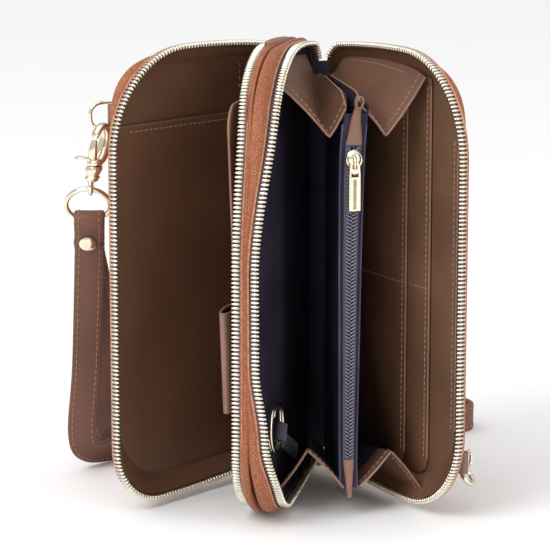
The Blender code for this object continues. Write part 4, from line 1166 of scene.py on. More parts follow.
def coin_sweep(section, face, low, high, steps, start=1.0, end=1.0):
    """A skin along the pocket's edge: (sideways, out) points, the first times start to end."""
    rings = []
    for k in range(steps + 1):
        t = k / steps
        wide = start + (end - start) * t
        z = low + (high - low) * t
        rings.append([coin_point(face + out, sideways * wide, z) for sideways, out in section])
    return skin(bmesh.new(), rings)


edge_half = 4.9 * MM
edge_past = 12.0 * MM
edge_section = (
    (-edge_half, -1.6 * MM),
    (-4.4 * MM, -0.8 * MM),
    (-3.0 * MM, -0.35 * MM),
    (0.0, -0.2 * MM),
    (3.0 * MM, -0.35 * MM),
    (4.4 * MM, -0.8 * MM),
    (edge_half, -1.6 * MM),
    (0.0, -1.2 * MM),
)
edge_cloth = coin_sweep(edge_section, coin_front, coin_zip_low - edge_past, coin_zip_high + edge_past, 24)
put("coin_pocket_edge_cloth", edge_cloth, lit_coin_cloth, "coin_pocket", "navy_cloth", (), 60.0)
coin_tape = woven_tape("slate_zip_tape", (0.10, 0.10, 0.14), (0.045, 0.045, 0.07), 1.2)
coin_face = coin_front + 0.3 * MM
tape_half = 3.3 * MM
tape_past = 1.0 * MM
tape_section = (
    (-1.0, -0.5 * MM),
    (-0.97, 0.15 * MM),
    (-0.6, 0.5 * MM),
    (0.0, 0.6 * MM),
    (0.6, 0.5 * MM),
    (0.97, 0.15 * MM),
    (1.0, -0.5 * MM),
    (0.0, -0.4 * MM),
)
tape_mesh = coin_sweep(
    tape_section, coin_face, coin_zip_low - tape_past, coin_zip_high + tape_past, 24, tape_half, tape_half)
put("coin_zip_tape", tape_mesh, coin_tape, "coin_pocket", "zip_tape", ("coin_tape",))
piping_cloth = lining_weave("slate_piping_cloth", (0.13, 0.125, 0.19), (0.08, 0.075, 0.12))
piping_u = coin_front - 1.4 * MM
piping_low = 13.0 * MM
piping_step = 9.6 * MM
piping = []
for v in (-edge_half, edge_half):
    piping.append([coin_point(piping_u, v, piping_low + piping_step * k) for k in range(17)])
bead("coin_pocket_piping", piping, 0.45 * MM, piping_cloth, "coin_pocket", "navy_cloth")

coil_finish = mottled("slate_nylon_coil", {"Roughness": 0.35, "Coat Weight": 0.3}, 700.0,
                      (0.13, 0.13, 0.175), (0.24, 0.24, 0.31))
coil_pitch = 1.5 * MM
coil_margin = 1.5 * MM
coil_round = 0.36 * MM
coil_proud = 0.75 * MM
coil_sides = 6
# Half a turn of the coil, from its outer end to the middle: reach, rise and girth.
coil_stops = (
    (2.5 * MM, 1.0 * MM, 0.5),
    (2.2 * MM, 0.85 * MM, 0.85),
    (1.3 * MM, 0.45 * MM, 1.0),
    (0.6 * MM, 0.1 * MM, 1.15),
    (-0.1 * MM, -0.15 * MM, 0.7),
)
coil_count = int((coin_zip_high - coin_zip_low - 2.0 * coil_margin) / coil_pitch)
coil_mesh = bmesh.new()
for k in range(coil_count):
    for side, ahead in ((-1.0, 0.0), (1.0, 0.5 * coil_pitch)):
        z = coin_zip_low + coil_margin + k * coil_pitch + ahead
        rings = []
        for reach, rise, girth in coil_stops:
            ring = []
            for n in range(coil_sides):
                t = 2.0 * math.pi * n / coil_sides
                out = coil_proud + 0.15 * MM * girth + coil_round * girth * math.cos(t)
                height = z + rise + coil_round * girth * math.sin(t)
                ring.append(coin_point(coin_face + out, side * reach, height))
            rings.append(ring)
        skin(coil_mesh, rings)
put("coin_zip_coil", coil_mesh, coil_finish, "coin_pocket", "zip_coil", ("coin_coil",), 70.0)
# The cords under the coil are near black: painted shadow in the gaps between its turns.
coil_gap_shadow_finish = mottled("coil_gap_shadow", {"Roughness": 0.9, "Specular IOR Level": 0.0}, 300.0,
                     (0.008, 0.008, 0.012), (0.014, 0.013, 0.02))
cord_u = coin_face + 0.52 * MM
cord_low = 26.5 * MM
cord_step = 8.2 * MM
cords = []
for v in (-0.75 * MM, 0.75 * MM):
    cords.append([coin_point(cord_u, v, cord_low + cord_step * k) for k in range(17)])
bead("coin_zip_cord", cords, 0.42 * MM, coil_gap_shadow_finish, "coin_pocket", "zip_coil")

tab_leather = smooth_leather("tab_leather", (0.30, 0.165, 0.115), (0.21, 0.11, 0.075), 0.4)
tab_half = 3.4 * MM
tab_tip_half = 1.3 * MM
tab_seam = 2.6 * MM
tab_section = (
    (-1.0, 0.0),
    (-0.98, 0.6 * MM),
    (-0.7, 1.1 * MM),
    (0.0, 1.35 * MM),
    (0.7, 1.1 * MM),
    (0.98, 0.6 * MM),
    (1.0, 0.0),
    (0.0, -0.1 * MM),
)
for name, inner, tip in (
    ("coin_tab_top", coin_zip_high - 0.5 * MM, coin_high - 4.0 * MM),
    ("coin_tab_bottom", coin_zip_low + 0.5 * MM, 9.0 * MM),
):
    tab = coin_sweep(tab_section, coin_face, inner, tip, 8, tab_half, tab_tip_half)
    put(name + "_leather", tab, tab_leather, "coin_pocket", "smooth_leather", (name,), 50.0)
    z = inner + math.copysign(tab_seam, tip - inner)
    sewn = []
    for v in (-1.5 * MM, 0.9 * MM):
        start = coin_point(coin_face + 1.25 * MM, v, z)
        end = coin_point(coin_face + 1.3 * MM, v + 0.6 * MM, z)
        sewn.append([start, end])
    stitches(name + "_stitches", sewn, "coin_pocket", pitch=1.0 * MM, length=0.7 * MM, thick=0.3 * MM)
loop_half = 1.35 * MM
loop_rise = 2.4 * MM
loop_path = []
for k in range(17):
    t = 2.0 * math.pi * k / 16
    loop_path.append((loop_half * fuller(math.cos(t), 0.7), loop_rise * math.sin(t), 1.5 * MM))


def loop_point(a, b, c):
    """A point of the small loop: a sideways, b up and c forward."""
    return coin_point(coin_front + 0.9 * MM + c, a, coin_high - 2.2 * MM + b)


band("coin_tab_loop", loop_path, loop_point, 0.8 * MM, tab_leather, "coin_pocket", "smooth_leather")


# Coin slider
# A cast slider runs on the coil. Its pull has a round head, a window and a long
# channel, and hangs from a small bridge.
runner_u = coin_face + 0.9 * MM
runner_aside = 0.5 * MM
slider_z = 152.0 * MM


def coin_spot(v, u, z):
    """A point by the slider: v sideways, u off the coil and z up."""
    return coin_leaf @ Vector((runner_u + u, v - runner_aside, slider_z + z))


def cut(item, hole, low, high):
    """Cuts a hole straight through a flat casting."""
    cutter = skin(bmesh.new(), [[Vector((a, b, c)) for a, b in hole] for c in (low, high)])
    bmesh.ops.recalc_face_normals(cutter, faces=cutter.faces)
    data = bpy.data.meshes.new(item.name + "_cutter")
    cutter.to_mesh(data)
    cutter.free()
    tool = bpy.data.objects.new(item.name + "_cutter", data)
    bpy.context.collection.objects.link(tool)
    change = item.modifiers.new("hole", "BOOLEAN")
    change.operation = "DIFFERENCE"
    change.solver = "EXACT"
    change.object = tool
    made = bpy.data.meshes.new_from_object(item.evaluated_get(bpy.context.evaluated_depsgraph_get()))
    item.modifiers.clear()
    old = item.data
    item.data = made
    bpy.data.meshes.remove(old)
    bpy.data.objects.remove(tool)


def plate(name, outline, place, low, high, edge, body, nodes=(), holes=(), finish=gold):
    """A flat casting with soft edges: an outline in (a, b), with any holes cut right through."""
    rings = []
    for inset, c in ((edge, low), (0.0, low + edge), (0.0, high - edge), (edge, high)):
        loop = inset_loop(outline, inset) if inset else outline
        rings.append([(a, b, c) for a, b in loop])
    if not holes:
        rings = [[place(*spot) for spot in ring] for ring in rings]
        return put(name, skin(bmesh.new(), rings), finish, body, "pale_gold", nodes)
    item = put(name, skin(bmesh.new(), rings), finish, None, "pale_gold")
    for hole in holes:
        cut(item, hole, low - MM, high + MM)
    mesh = bmesh.new()
    mesh.from_mesh(item.data)
    for vert in mesh.verts:
        vert.co = place(*vert.co)
    bmesh.ops.recalc_face_normals(mesh, faces=mesh.faces)
    mesh.to_mesh(item.data)
    mesh.free()
    item.data.shade_smooth()
    item.data.set_sharp_from_angle(angle=math.radians(40.0))
    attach(item, body)
    if nodes:
        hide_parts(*nodes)
    return item


slider_half = 3.7 * MM
slider_reach = 4.6 * MM
slider_taper = 0.32
teardrop = []
for k in range(28):
    t = 2.0 * math.pi * k / 28
    taper = 1.0 - slider_taper * max(0.0, -math.sin(t))
    teardrop.append((slider_half * math.cos(t) * taper, slider_reach * math.sin(t)))
plate("coin_slider_body", teardrop, lambda a, b, c: coin_spot(a, c, b), 0.7 * MM, 2.0 * MM, 0.35 * MM,
      "coin_runner", ("coin_slider",))
dome_radius = 2.9 * MM
dome_z = 0.9 * MM
dome_steps = 20
rings = []
for share, rise in ((1.0, 2.0 * MM), (0.85, 2.5 * MM), (0.55, 2.8 * MM), (0.2, 2.9 * MM)):
    reach = dome_radius * share
    ring = []
    for k in range(dome_steps):
        t = 2.0 * math.pi * k / dome_steps
        ring.append(coin_spot(reach * math.cos(t), rise, dome_z + reach * math.sin(t)))
    rings.append(ring)
put("coin_slider_dome", skin(bmesh.new(), rings), gold, "coin_runner", "pale_gold", (), 50.0)
bridge = []
for k in range(13):
    t = math.pi * k / 12
    bridge.append(coin_spot(0.0, 1.6 * MM + 2.3 * MM * math.sin(t), 2.6 * MM * math.cos(t) - 0.6 * MM))
wire("coin_slider_bridge", bridge, 0.75 * MM, "coin_runner", closed=False)

coin_pivot_z = -1.2 * MM
pull_u = 3.1 * MM


def coin_pull_spot(a, b, c):
    """A point of the hanging pull: a sideways, b down from its pivot and c off the coil."""
    return coin_spot(a, pull_u + c, coin_pivot_z - b)


def oval(middle, half_a, half_b, steps):
    """An oval outline in (a, b) round a middle on the b axis."""
    turns = [2.0 * math.pi * k / steps for k in range(steps)]
    return [(half_a * math.cos(t), middle + half_b * math.sin(t)) for t in turns]


def slot(half, near, far):
    """A rectangular hole in (a, b), from near to far along the pull."""
    return [(-half, near), (-half, far), (half, far), (half, near)]


link_middle = 1.2 * MM
head = oval(link_middle, 2.3 * MM, 2.9 * MM, 20)
head_hole = oval(link_middle, 1.15 * MM, 1.8 * MM, 16)
plate("coin_pull_link", head, coin_pull_spot, -0.45 * MM, 0.45 * MM, 0.18 * MM, "coin_handle",
      holes=(head_hole,))
pull_outline = scaled((
    (2.3, 1.9), (2.5, 4.5), (2.55, 18.9), (2.35, 19.2),
    (-2.35, 19.2), (-2.55, 18.9), (-2.5, 4.5), (-2.3, 1.9),
))
window = slot(1.5 * MM, 2.9 * MM, 5.1 * MM)
channel = slot(0.65 * MM, 6.0 * MM, 18.3 * MM)
plate("coin_pull_plate", pull_outline, coin_pull_spot, -0.55 * MM, 0.6 * MM, 0.22 * MM, "coin_handle",
      ("coin_pull",), (window, channel))
groove = slot(0.85 * MM, 5.8 * MM, 18.5 * MM)[::-1]
groove = groove[-1:] + groove[:-1]
# The groove is a darker copy of the gold plate: painted shade in the pull's sunken channel.
groove_shade_gold = polished_metal("shaded_gold_plate", (0.50, 0.43, 0.30), (0.38, 0.32, 0.21), 0.4)
plate("coin_pull_groove", groove, coin_pull_spot, -0.45 * MM, 0.1 * MM, 0.1 * MM, "coin_handle",
      finish=groove_shade_gold)


# Top strip
# A strip of smooth leather with two long ridges, laid over the back of the divider's
# left half where the two trays are sewn together. It ends in a tapered tip.
strip_leather = smooth_leather("top_strip_leather", (0.34, 0.15, 0.085), (0.24, 0.095, 0.052), 0.4)
strip_front = 57.0 * MM
strip_taper = 9.0 * MM
strip_lowest = 150.0 * MM
strip_aside = -2.9 * MM
strip_over = 0.3 * MM
# Across the strip: sideways and up, over its two ridges.
strip_section = scaled((
    (-2.9, -1.2), (-2.5, 0.1), (-1.7, 0.55), (-0.7, 0.25), (0.3, 0.25), (1.3, 0.55), (2.3, 0.1), (2.7, -1.2),
))
rings = []
for u, z in zip_line(divider_corners, lip_out + strip_over, 0.2, 0.9, 0.5):
    if u > strip_front or z < strip_lowest:
        break
    narrow = 1.0 - 0.55 * max(0.0, 1.0 - (strip_front - u) / strip_taper) ** 1.5
    ring = []
    for v, rise in strip_section:
        ring.append(Vector((strip_aside + v * narrow, hinge_back - u, z + rise * narrow)))
    rings.append(ring)
put("divider_top_strip_leather", skin(bmesh.new(), rings), strip_leather, "divider", "smooth_leather",
    ("divider_top_strip",), 60.0)


# Spine
# Soft pebbled leather joins each cover's back edge to the divider's. On the coin
# pocket's side it is made in two strips, one to each joint.
spine_low = 8.3 * MM
spine_high = 182.0 * MM
spine_pull = 12.0 * MM
spine_margin = 3.7 * MM
spine_seam = 1.5 * MM
spine_lining_near = 0.15 * MM
spine_lining_far = 0.6 * MM
spine_lining_past = 0.2 * MM
spine_steps = 24
spine_rise_steps = 12


def heading(turn):
    """The way a leaf points from its hinge line at an opening angle."""
    return Vector((math.sin(turn), -math.cos(turn), 0.0))


def spine_curve(side, turn):
    """The spine leather seen from above, from the cover's back edge to the divider's."""
    hinge = Vector((side * hinge_side, hinge_back))
    ahead = heading(turn).xy
    outward = Vector((side * math.cos(turn), side * math.sin(turn)))
    start = hinge + ahead * spine_margin + outward * (cover_depth - leather / 2)
    end = Vector((side * spine_seam, hinge_back - spine_margin))
    pulled = (start, start - ahead * spine_pull, end + Vector((0.0, spine_pull)), end)
    curve = []
    for k in range(spine_steps + 1):
        t = k / spine_steps
        weights = ((1 - t) ** 3, 3 * t * (1 - t) ** 2, 3 * t * t * (1 - t), t**3)
        curve.append(sum((spot * w for spot, w in zip(pulled, weights)), Vector((0.0, 0.0))))
    return curve


def spine_strip(prefix, curve, nodes, lined):
    """A strip of leather along a curve, with a thin lining on the side of the leaves."""
    step = (spine_high - spine_low) / spine_rise_steps
    heights = [spine_low + step * n for n in range(spine_rise_steps + 1)]
    low = spine_low - spine_lining_past
    high = spine_high + spine_lining_past
    leather_rings = []
    lining_rings = []
    for k, spot in enumerate(curve):
        along = (curve[min(k + 1, len(curve) - 1)] - curve[max(k - 1, 0)]).normalized()
        across = Vector((-along[1], along[0]))
        outer = spot + across * leather / 2
        inner = spot - across * leather / 2
        ring = [Vector((*outer, z)) for z in heights]
        leather_rings.append(ring + [Vector((*inner, z)) for z in reversed(heights)])
        if across[1] > 0:
            across = -across
        near = spot + across * (leather / 2 + spine_lining_near)
        far = spot + across * (leather / 2 + spine_lining_far)
        corners = ((near, low), (far, low), (far, high), (near, high))
        lining_rings.append([Vector((*at, z)) for at, z in corners])
    for name, rings, finish, slot_name, replaced in (
        (prefix + "_lining", lining_rings, lined, "navy_cloth", ()),
        (prefix + "_leather", leather_rings, tan_pebbles, "pebbled_leather", nodes),
    ):
        item = put(name, skin(bmesh.new(), rings), finish, None, slot_name, replaced)
        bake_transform(item)


left_curve = spine_curve(-1.0, -left_open)
right_curve = spine_curve(1.0, right_open)
inner_curve = right_curve[12:]
outer_curve = right_curve[:13]
spine_strip("spine_left", left_curve, ("spine_left",), brown_lining)
spine_strip("spine_right_inner", inner_curve, ("spine_right",), navy_cloth)
spine_strip("spine_right_outer", outer_curve, (), navy_cloth)


# Gussets
# Folded leather wedges close the coin pocket's sides: a valley at the top and a ridge
# at the bottom. Their front edges are turned, lightly painted and stitched.
gusset_leather = smooth_leather("gusset_leather", (0.20, 0.095, 0.058), (0.13, 0.06, 0.036))
gusset_edge_leather = smooth_leather("gusset_edge_leather", (0.34, 0.19, 0.125), (0.25, 0.135, 0.09), 0.4)
gusset_thick = 1.1 * MM
gusset_back = 4.0 * MM
gusset_gap = 0.4 * MM
gusset_cover_side = 3.9 * MM
gusset_divider_side = 4.6 * MM
gusset_thread_out = 0.12 * MM
gusset_cloth_up = 0.35 * MM
gusset_cloth_thick = 0.3 * MM
gusset_steps = 20
upper_half = 120.0 * MM
# Shares of the way to the fold and on from it, and how far each side sags between.
fold_nearing = (0.0, 0.3, 0.6, 0.85, 0.96)
fold_leaving = (0.04, 0.15, 0.4, 0.7, 1.0)
fold_round = 0.012
sag_share = 0.06


def upward(height):
    """A step straight up."""
    return Vector((0.0, 0.0, height))


def beside(angle, u, lateral):
    """A point beside the right hinge line, at an opening angle, a reach and a sideways step."""
    across = Vector((math.cos(angle), math.sin(angle), 0.0))
    return Vector((hinge_side, hinge_back, 0.0)) + heading(angle) * u + across * lateral


def gusset_row(outer, u, heights, share):
    """Points from the leaf nearer the divider over the fold to the further leaf."""
    half = coin_waist + coin_widening * (u - coin_back) / (coin_front - coin_back) + gusset_gap
    if outer:
        near = beside(coin_open, u, half)
        far = beside(right_open, u, gusset_cover_side)
    else:
        near = beside(0.0, u, -gusset_divider_side)
        far = beside(coin_open, u, -half)
    first, fold, last = heights
    valley = near.lerp(far, share)
    row = []
    for t in fold_nearing:
        sag = sag_share * math.sin(math.pi * t)
        row.append(near.lerp(valley, t) + upward(first + (fold - first) * (t - sag)))
    row.append(valley + upward(fold - (fold - first) * fold_round))
    for t in fold_leaving:
        sag = sag_share * math.sin(math.pi * t)
        row.append(valley.lerp(far, t) + upward(last + (fold - last) * (1.0 - t + sag)))
    return row


def level(back, front):
    """A straight edge between its heights at the back and in front."""
    return lambda u, t: back + (front - back) * t


def coin_brim(u, t):
    """The coin pocket's top edge."""
    return coin_high + gusset_gap - coin_drop(u)


def under_zip(corners, sunk, dropped):
    """An edge sewn a little below a leaf's upper zip edge, lower still in front."""
    line = [spot for spot in zip_line(corners) if spot[1] > upper_half]

    def height(u, t):
        for (near, a), (far, b) in zip(line, line[1:]):
            if u <= far:
                break
        return a + (b - a) * (u - near) / (far - near) - sunk - dropped * t**3
    return height


def gusset(name, edges, fold, front, share, second):
    """Edges give the heights at both leaves; fold is the fold's height in front, at a share across."""
    outer = second == "right_cover"
    meet = edges[0 if outer else 1](gusset_back, 0.0)
    rows = []
    for k in range(gusset_steps + 1):
        t = k / gusset_steps
        u = gusset_back + (front - gusset_back) * t
        near, far = [edge(u, t) for edge in edges]
        heights = (near, meet + (fold - meet) * u / front, far)
        rows.append(gusset_row(outer, u, heights, 0.5 + (share - 0.5) * t))
    below = upward(gusset_thick)
    rings = [row + [point - below for point in reversed(row)] for row in rows]
    mesh = skin(bmesh.new(), rings)
    pieces = [put(name + "_leather", mesh, gusset_leather, None, "smooth_leather", (name,), 30.0)]
    rim = [point - below / 2 for point in rows[-1]]
    pieces.append(bead(name + "_edge", [rim], 0.5 * MM, gusset_edge_leather, None))
    if fold < meet:
        side = 0 if outer else -1
        brim = [row[side] + upward(0.1 * MM) for row in rows[3:]]
        pieces.append(bead(name + "_brim", [brim], 0.45 * MM, gusset_edge_leather, None))
    else:
        rings = []
        for row in rows[:-4]:
            cloth = [point + upward(gusset_cloth_up) for point in row]
            rings.append(cloth + [point - upward(gusset_cloth_thick) for point in reversed(cloth)])
        mesh = skin(bmesh.new(), rings)
        pieces.append(put(name + "_cloth", mesh, lit_coin_cloth, None, "navy_cloth", (), 30.0))
    seams = [[point + upward(gusset_thread_out) for point in rows[-2]]]
    seams.append([point - below - upward(gusset_thread_out) for point in rows[-2]])
    if outer:
        seams.append([row[-1].lerp(row[-2], 0.35) + upward(gusset_thread_out) for row in rows[4:17]])
    pieces.append(stitches(name + "_stitches", seams, None, pitch=2.6 * MM))
    for item in pieces:
        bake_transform(item)


gusset("gusset_top_inner", (under_zip(divider_corners, 4.0 * MM, 0.0), coin_brim),
       fold=161.8 * MM, front=73.0 * MM, share=0.775, second="coin_pocket")
gusset("gusset_top_outer", (coin_brim, under_zip(right_corners, 5.4 * MM, 3.8 * MM)),
       fold=161.6 * MM, front=72.5 * MM, share=0.385, second="right_cover")
gusset("gusset_bottom_inner", (level(11.5 * MM, 9.5 * MM), level(13.5 * MM, 13.5 * MM)),
       fold=29.4 * MM, front=73.5 * MM, share=0.48, second="coin_pocket")
gusset("gusset_bottom_outer", (level(14.0 * MM, 14.0 * MM), level(11.5 * MM, 8.6 * MM)),
       fold=27.6 * MM, front=74.0 * MM, share=0.487, second="right_cover")


# Main zip sliders
# One slider is parked at the foot of each spine, with its pull laid back under the
# wallet. Each has two cast plates joined at the nose, and a bridge for the pull.
slider_aside = 8.0 * MM
slider_back = 45.0 * MM
slider_height = 7.49 * MM
slider_slope = math.atan2(4.0, 36.0)
slider_outline = scaled((
    (-2.1, -4.7), (2.1, -4.7), (2.5, -3.6), (2.5, 1.6), (1.7, 4.2),
    (0.0, 4.8), (-1.7, 4.2), (-2.5, 1.6), (-2.5, -3.6),
))
slider_near = 2.0 * MM
slider_far = 2.9 * MM
nose_aside = 1.8 * MM
nose_ahead = 2.6 * MM
nose_deep = 2.2 * MM
arch_middle = 1.5 * MM
arch_half = 2.5 * MM
arch_rise = 2.2 * MM
arch_start = 2.7 * MM
arch_wire = 0.6 * MM
handle_drop = 3.75 * MM
handle_eye = slot(1.3 * MM, 0.8 * MM, 3.9 * MM)
handle_outline = scaled((
    (2.0, -0.4), (2.45, 4.5), (2.5, 18.6), (1.6, 20.6),
    (-1.6, 20.6), (-2.5, 18.6), (-2.45, 4.5), (-2.0, -0.4),
))


def main_slider(hand, side):
    """A parked slider with its bridge and its pull."""
    prefix = hand + "_zip"
    runner = hand + "_runner"
    parked = Matrix.Translation((side * slider_aside, slider_back, slider_height))
    own = parked @ Matrix.Rotation(slider_slope, 4, "X")

    def place(a, b, c):
        return own @ Vector((a, b, c))

    plate(prefix + "_slider_foot", slider_outline, place, -slider_far, -slider_near, 0.3 * MM, runner,
          (prefix + "_slider",))
    plate(prefix + "_slider_head", slider_outline, place, slider_near, slider_far, 0.3 * MM, runner)
    nose = [(a * 0.25 + side * nose_aside, b * 0.3 + nose_ahead) for a, b in slider_outline]
    plate(prefix + "_slider_nose", nose, place, -nose_deep, nose_deep, 0.2 * MM, runner)
    arch = []
    for k in range(13):
        t = math.pi * k / 12
        arch.append(place(0.0, arch_middle + arch_half * math.cos(t), -arch_start - arch_rise * math.sin(t)))
    wire(prefix + "_slider_bridge", arch, arch_wire, runner, closed=False)

    def hang(a, b, c):
        return place(a, b + arch_middle, c - handle_drop)

    plate(prefix + "_pull_plate", handle_outline, hang, -0.45 * MM, 0.45 * MM, 0.18 * MM, hand + "_handle",
          (prefix + "_pull",), (handle_eye, channel))


main_slider("left", -1.0)
main_slider("right", 1.0)


# Ring tabs and D rings
# A strip of leather is folded round the bar of each D ring and sewn to the cover. The
# left ring carries the clasp, and the right one a small closed ring.
bar_depth = 16.3 * MM
ring_tab_half = 4.4 * MM
ring_tab_bend = 1.6 * MM
ring_tab_sewn = 3.0 * MM
ring_tab_seam_slope = 0.21
# Behind the bar, on the cover and on the open side: how far back and how deep.
ring_tab_under = ((13.0 * MM, 12.9 * MM), (6.0 * MM, 12.9 * MM))
ring_tab_over = ((6.0 * MM, 15.6 * MM), (13.0 * MM, 14.1 * MM))
dee_wire = 0.78 * MM


def ring_tab(name, leaf, bar_u, bar_z, body):
    """The folded tab; gives the middle of the bar that it holds."""
    path = [(bar_u - back, depth, ring_tab_half) for back, depth in ring_tab_under]
    for k in range(9):
        t = math.radians(-90.0 + 180.0 * k / 8)
        u = bar_u + ring_tab_bend * math.cos(t)
        depth = bar_depth + ring_tab_bend * math.sin(t)
        path.append((u, depth, ring_tab_half))
    path += [(bar_u - back, depth, ring_tab_half) for back, depth in ring_tab_over]

    def tab_point(a, b, c):
        return leaf @ Vector((a, b, bar_z + c))

    band(name + "_leather", path, tab_point, 1.0 * MM, tab_leather, body, "smooth_leather", (name,))
    rows = []
    for c in (-ring_tab_sewn, ring_tab_sewn):
        row = []
        for back in (0.0, 3.5 * MM, 7.0 * MM):
            depth = 16.5 * MM - ring_tab_seam_slope * back
            row.append(leaf @ Vector((bar_u - 5.0 * MM - back, depth, bar_z + c)))
        rows.append(row)
    stitches(name + "_stitches", rows, body)
    return leaf @ Vector((bar_u, bar_depth, bar_z))


def dee(name, bar, turn, half, reach, corner, body, node):
    """A D ring hanging from its bar, swung round the bar to a turn."""
    path = [(0.0, -half), (0.0, half)]
    for start, middle in ((90.0, half - corner), (0.0, corner - half)):
        for k in range(9):
            t = math.radians(start - 90.0 * k / 8)
            path.append((reach - corner + corner * math.cos(t), middle + corner * math.sin(t)))
    points = [bar + heading(turn) * a + upward(b) for a, b in path]
    wire(name, points, dee_wire, body, (node,))


left_bar = ring_tab("left_ring_tab", left_leaf, 89.2 * MM, 167.2 * MM, "left_cover")
left_swing = -left_open - math.radians(28.0)
dee("left_dee", left_bar, left_swing, half=5.4 * MM, reach=9.6 * MM, corner=4.6 * MM, body="left_ring",
    node="left_d_ring")
right_bar = ring_tab("right_ring_tab", right_leaf, 86.0 * MM, 21.6 * MM, "right_cover")
right_swing = right_open + math.radians(121.5)
dee("right_dee", right_bar, right_swing, half=3.8 * MM, reach=8.4 * MM, corner=3.4 * MM, body="right_ring",
    node="right_d_ring")
closed_reach = 4.4 * MM
closed_drop = 7.3 * MM
closed_radius = 3.7 * MM
closed_wire = 1.0 * MM
closed_middle = right_bar + heading(right_swing) * closed_reach - upward(closed_drop)
closed_down = Vector((0.66, 0.15, -0.74)).normalized()
closed_back = Vector((-0.05, 0.97, 0.22)).normalized()
closed_ring = round_ring(closed_middle, closed_down, closed_back, closed_radius, 28)
wire("right_closed_ring", closed_ring, closed_wire, "right_link", ("right_link_ring",))


# Clasp
# A cast hook with a sprung gate and a thumb lever hangs on the left D ring. Below it
# a swivel turns, and its eye holds the ring of the wrist strap.
clasp_foot = Vector((-70.1 * MM, -24.6 * MM, 147.0 * MM))
clasp_middle = 10.0 * MM
clasp_lean = 0.2
strap_facing = math.radians(13.0)
strap_across = Vector((math.cos(strap_facing), math.sin(strap_facing), 0.0))
strap_away = Vector((-math.sin(strap_facing), math.cos(strap_facing), 0.0))
clasp_turn = math.radians(-112.0)
clasp_across = Vector((math.cos(clasp_turn), math.sin(clasp_turn), 0.0))
clasp_thick = Vector((-math.sin(clasp_turn), math.cos(clasp_turn), 0.0))


def clasp_spot(h):
    """A point of the clasp's axis over its foot. The clasp hangs a little askew."""
    return clasp_foot + strap_across * (h - clasp_middle) * clasp_lean + upward(h)


def cast_bar(mesh, stops, flat):
    """A bar of changing girth along (across, height, radius) stops, flat times as thick sideways."""
    run = smooth_run(stops, 5)
    rings = []
    for k, (w, h, radius) in enumerate(run):
        before = run[max(k - 1, 0)]
        after = run[min(k + 1, len(run) - 1)]
        along = Vector((after[0] - before[0], after[1] - before[1])).normalized()
        ring = []
        for n in range(14):
            t = 2.0 * math.pi * n / 14
            step = radius * math.cos(t)
            spot = clasp_spot(h + along[0] * step) + clasp_across * (w - along[1] * step)
            ring.append(spot + clasp_thick * radius * flat * math.sin(t))
        rings.append(ring)
    skin(mesh, rings)


def turned(mesh, stops):
    """A round part on the clasp's axis through (radius, height) stops."""
    level_x = Vector((1.0, 0.0, 0.0))
    level_y = Vector((0.0, 1.0, 0.0))
    skin(mesh, [round_ring(clasp_spot(h), level_x, level_y, radius, 24) for radius, h in stops])


hook_stops = scaled((
    (0.0, 0.6, 2.3), (-2.1, 2.6, 2.5), (-3.4, 5.6, 2.3), (-3.8, 9.4, 1.9), (-3.2, 13.2, 1.65),
    (-1.2, 15.9, 1.5), (1.4, 15.9, 1.45), (3.2, 13.6, 1.4), (3.4, 11.4, 1.0),
))
collar = scaled(((3.1, -0.2), (3.6, 0.3), (3.6, 1.4), (2.6, 2.6)))
mesh = bmesh.new()
cast_bar(mesh, hook_stops, 1.5)
turned(mesh, collar)
put("clasp_hook", mesh, gold, "clasp", "pale_gold", ("clasp_body",), 50.0)

gate_stops = scaled(((1.6, 2.2, 1.1), (2.8, 4.2, 1.5), (3.5, 7.2, 1.35), (3.5, 10.7, 0.95)))
lever_across = 2.8 * MM
lever_height = 2.6 * MM
# Along the thumb lever: how far it stands off, its half width and half thickness.
lever_stops = scaled((
    (0.0, 1.2, 1.0), (3.4, 1.2, 0.85), (5.8, 1.6, 0.85), (7.4, 2.0, 0.85), (8.3, 1.3, 0.45),
))
mesh = bmesh.new()
cast_bar(mesh, gate_stops, 1.45)
turns = [math.pi / 6 * n for n in range(12)]
rings = []
for reach, half, thick in lever_stops:
    middle = clasp_spot(lever_height) + clasp_across * lever_across - clasp_thick * reach
    rings.append([middle + clasp_across * half * math.cos(t) + upward(thick * math.sin(t)) for t in turns])
skin(mesh, rings)
put("clasp_gate_lever", mesh, gold, "clasp_gate", "pale_gold", ("clasp_lever",), 50.0)

barrel = scaled((
    (1.7, -7.3), (2.9, -6.6), (3.3, -5.2), (2.7, -4.4), (3.3, -3.4), (3.8, -1.6), (3.4, -0.5), (1.6, -0.4),
))
mesh = bmesh.new()
turned(mesh, barrel)
put("swivel_barrel", mesh, gold, "swivel", "pale_gold", (), 50.0)
heavy_wire = 1.05 * MM
eye_drop = 9.1 * MM
eye_radius = 2.9 * MM
eye_ring = round_ring(clasp_spot(-eye_drop), upward(1.0), strap_away, eye_radius, 20)
wire("swivel_eye", eye_ring, heavy_wire, "swivel", ("clasp_swivel",))

ring_tilt = math.radians(33.6)
ring_rise = upward(math.cos(ring_tilt)) - strap_away * math.sin(ring_tilt)
ring_middle = Vector((-76.4 * MM, -21.2 * MM, 129.2 * MM))
ring_radius = 9.2 * MM
carrying_ring = round_ring(ring_middle, strap_across, ring_rise, ring_radius, 40)
wire("strap_carrying_ring", carrying_ring, heavy_wire, "strap_loop", ("strap_ring",))


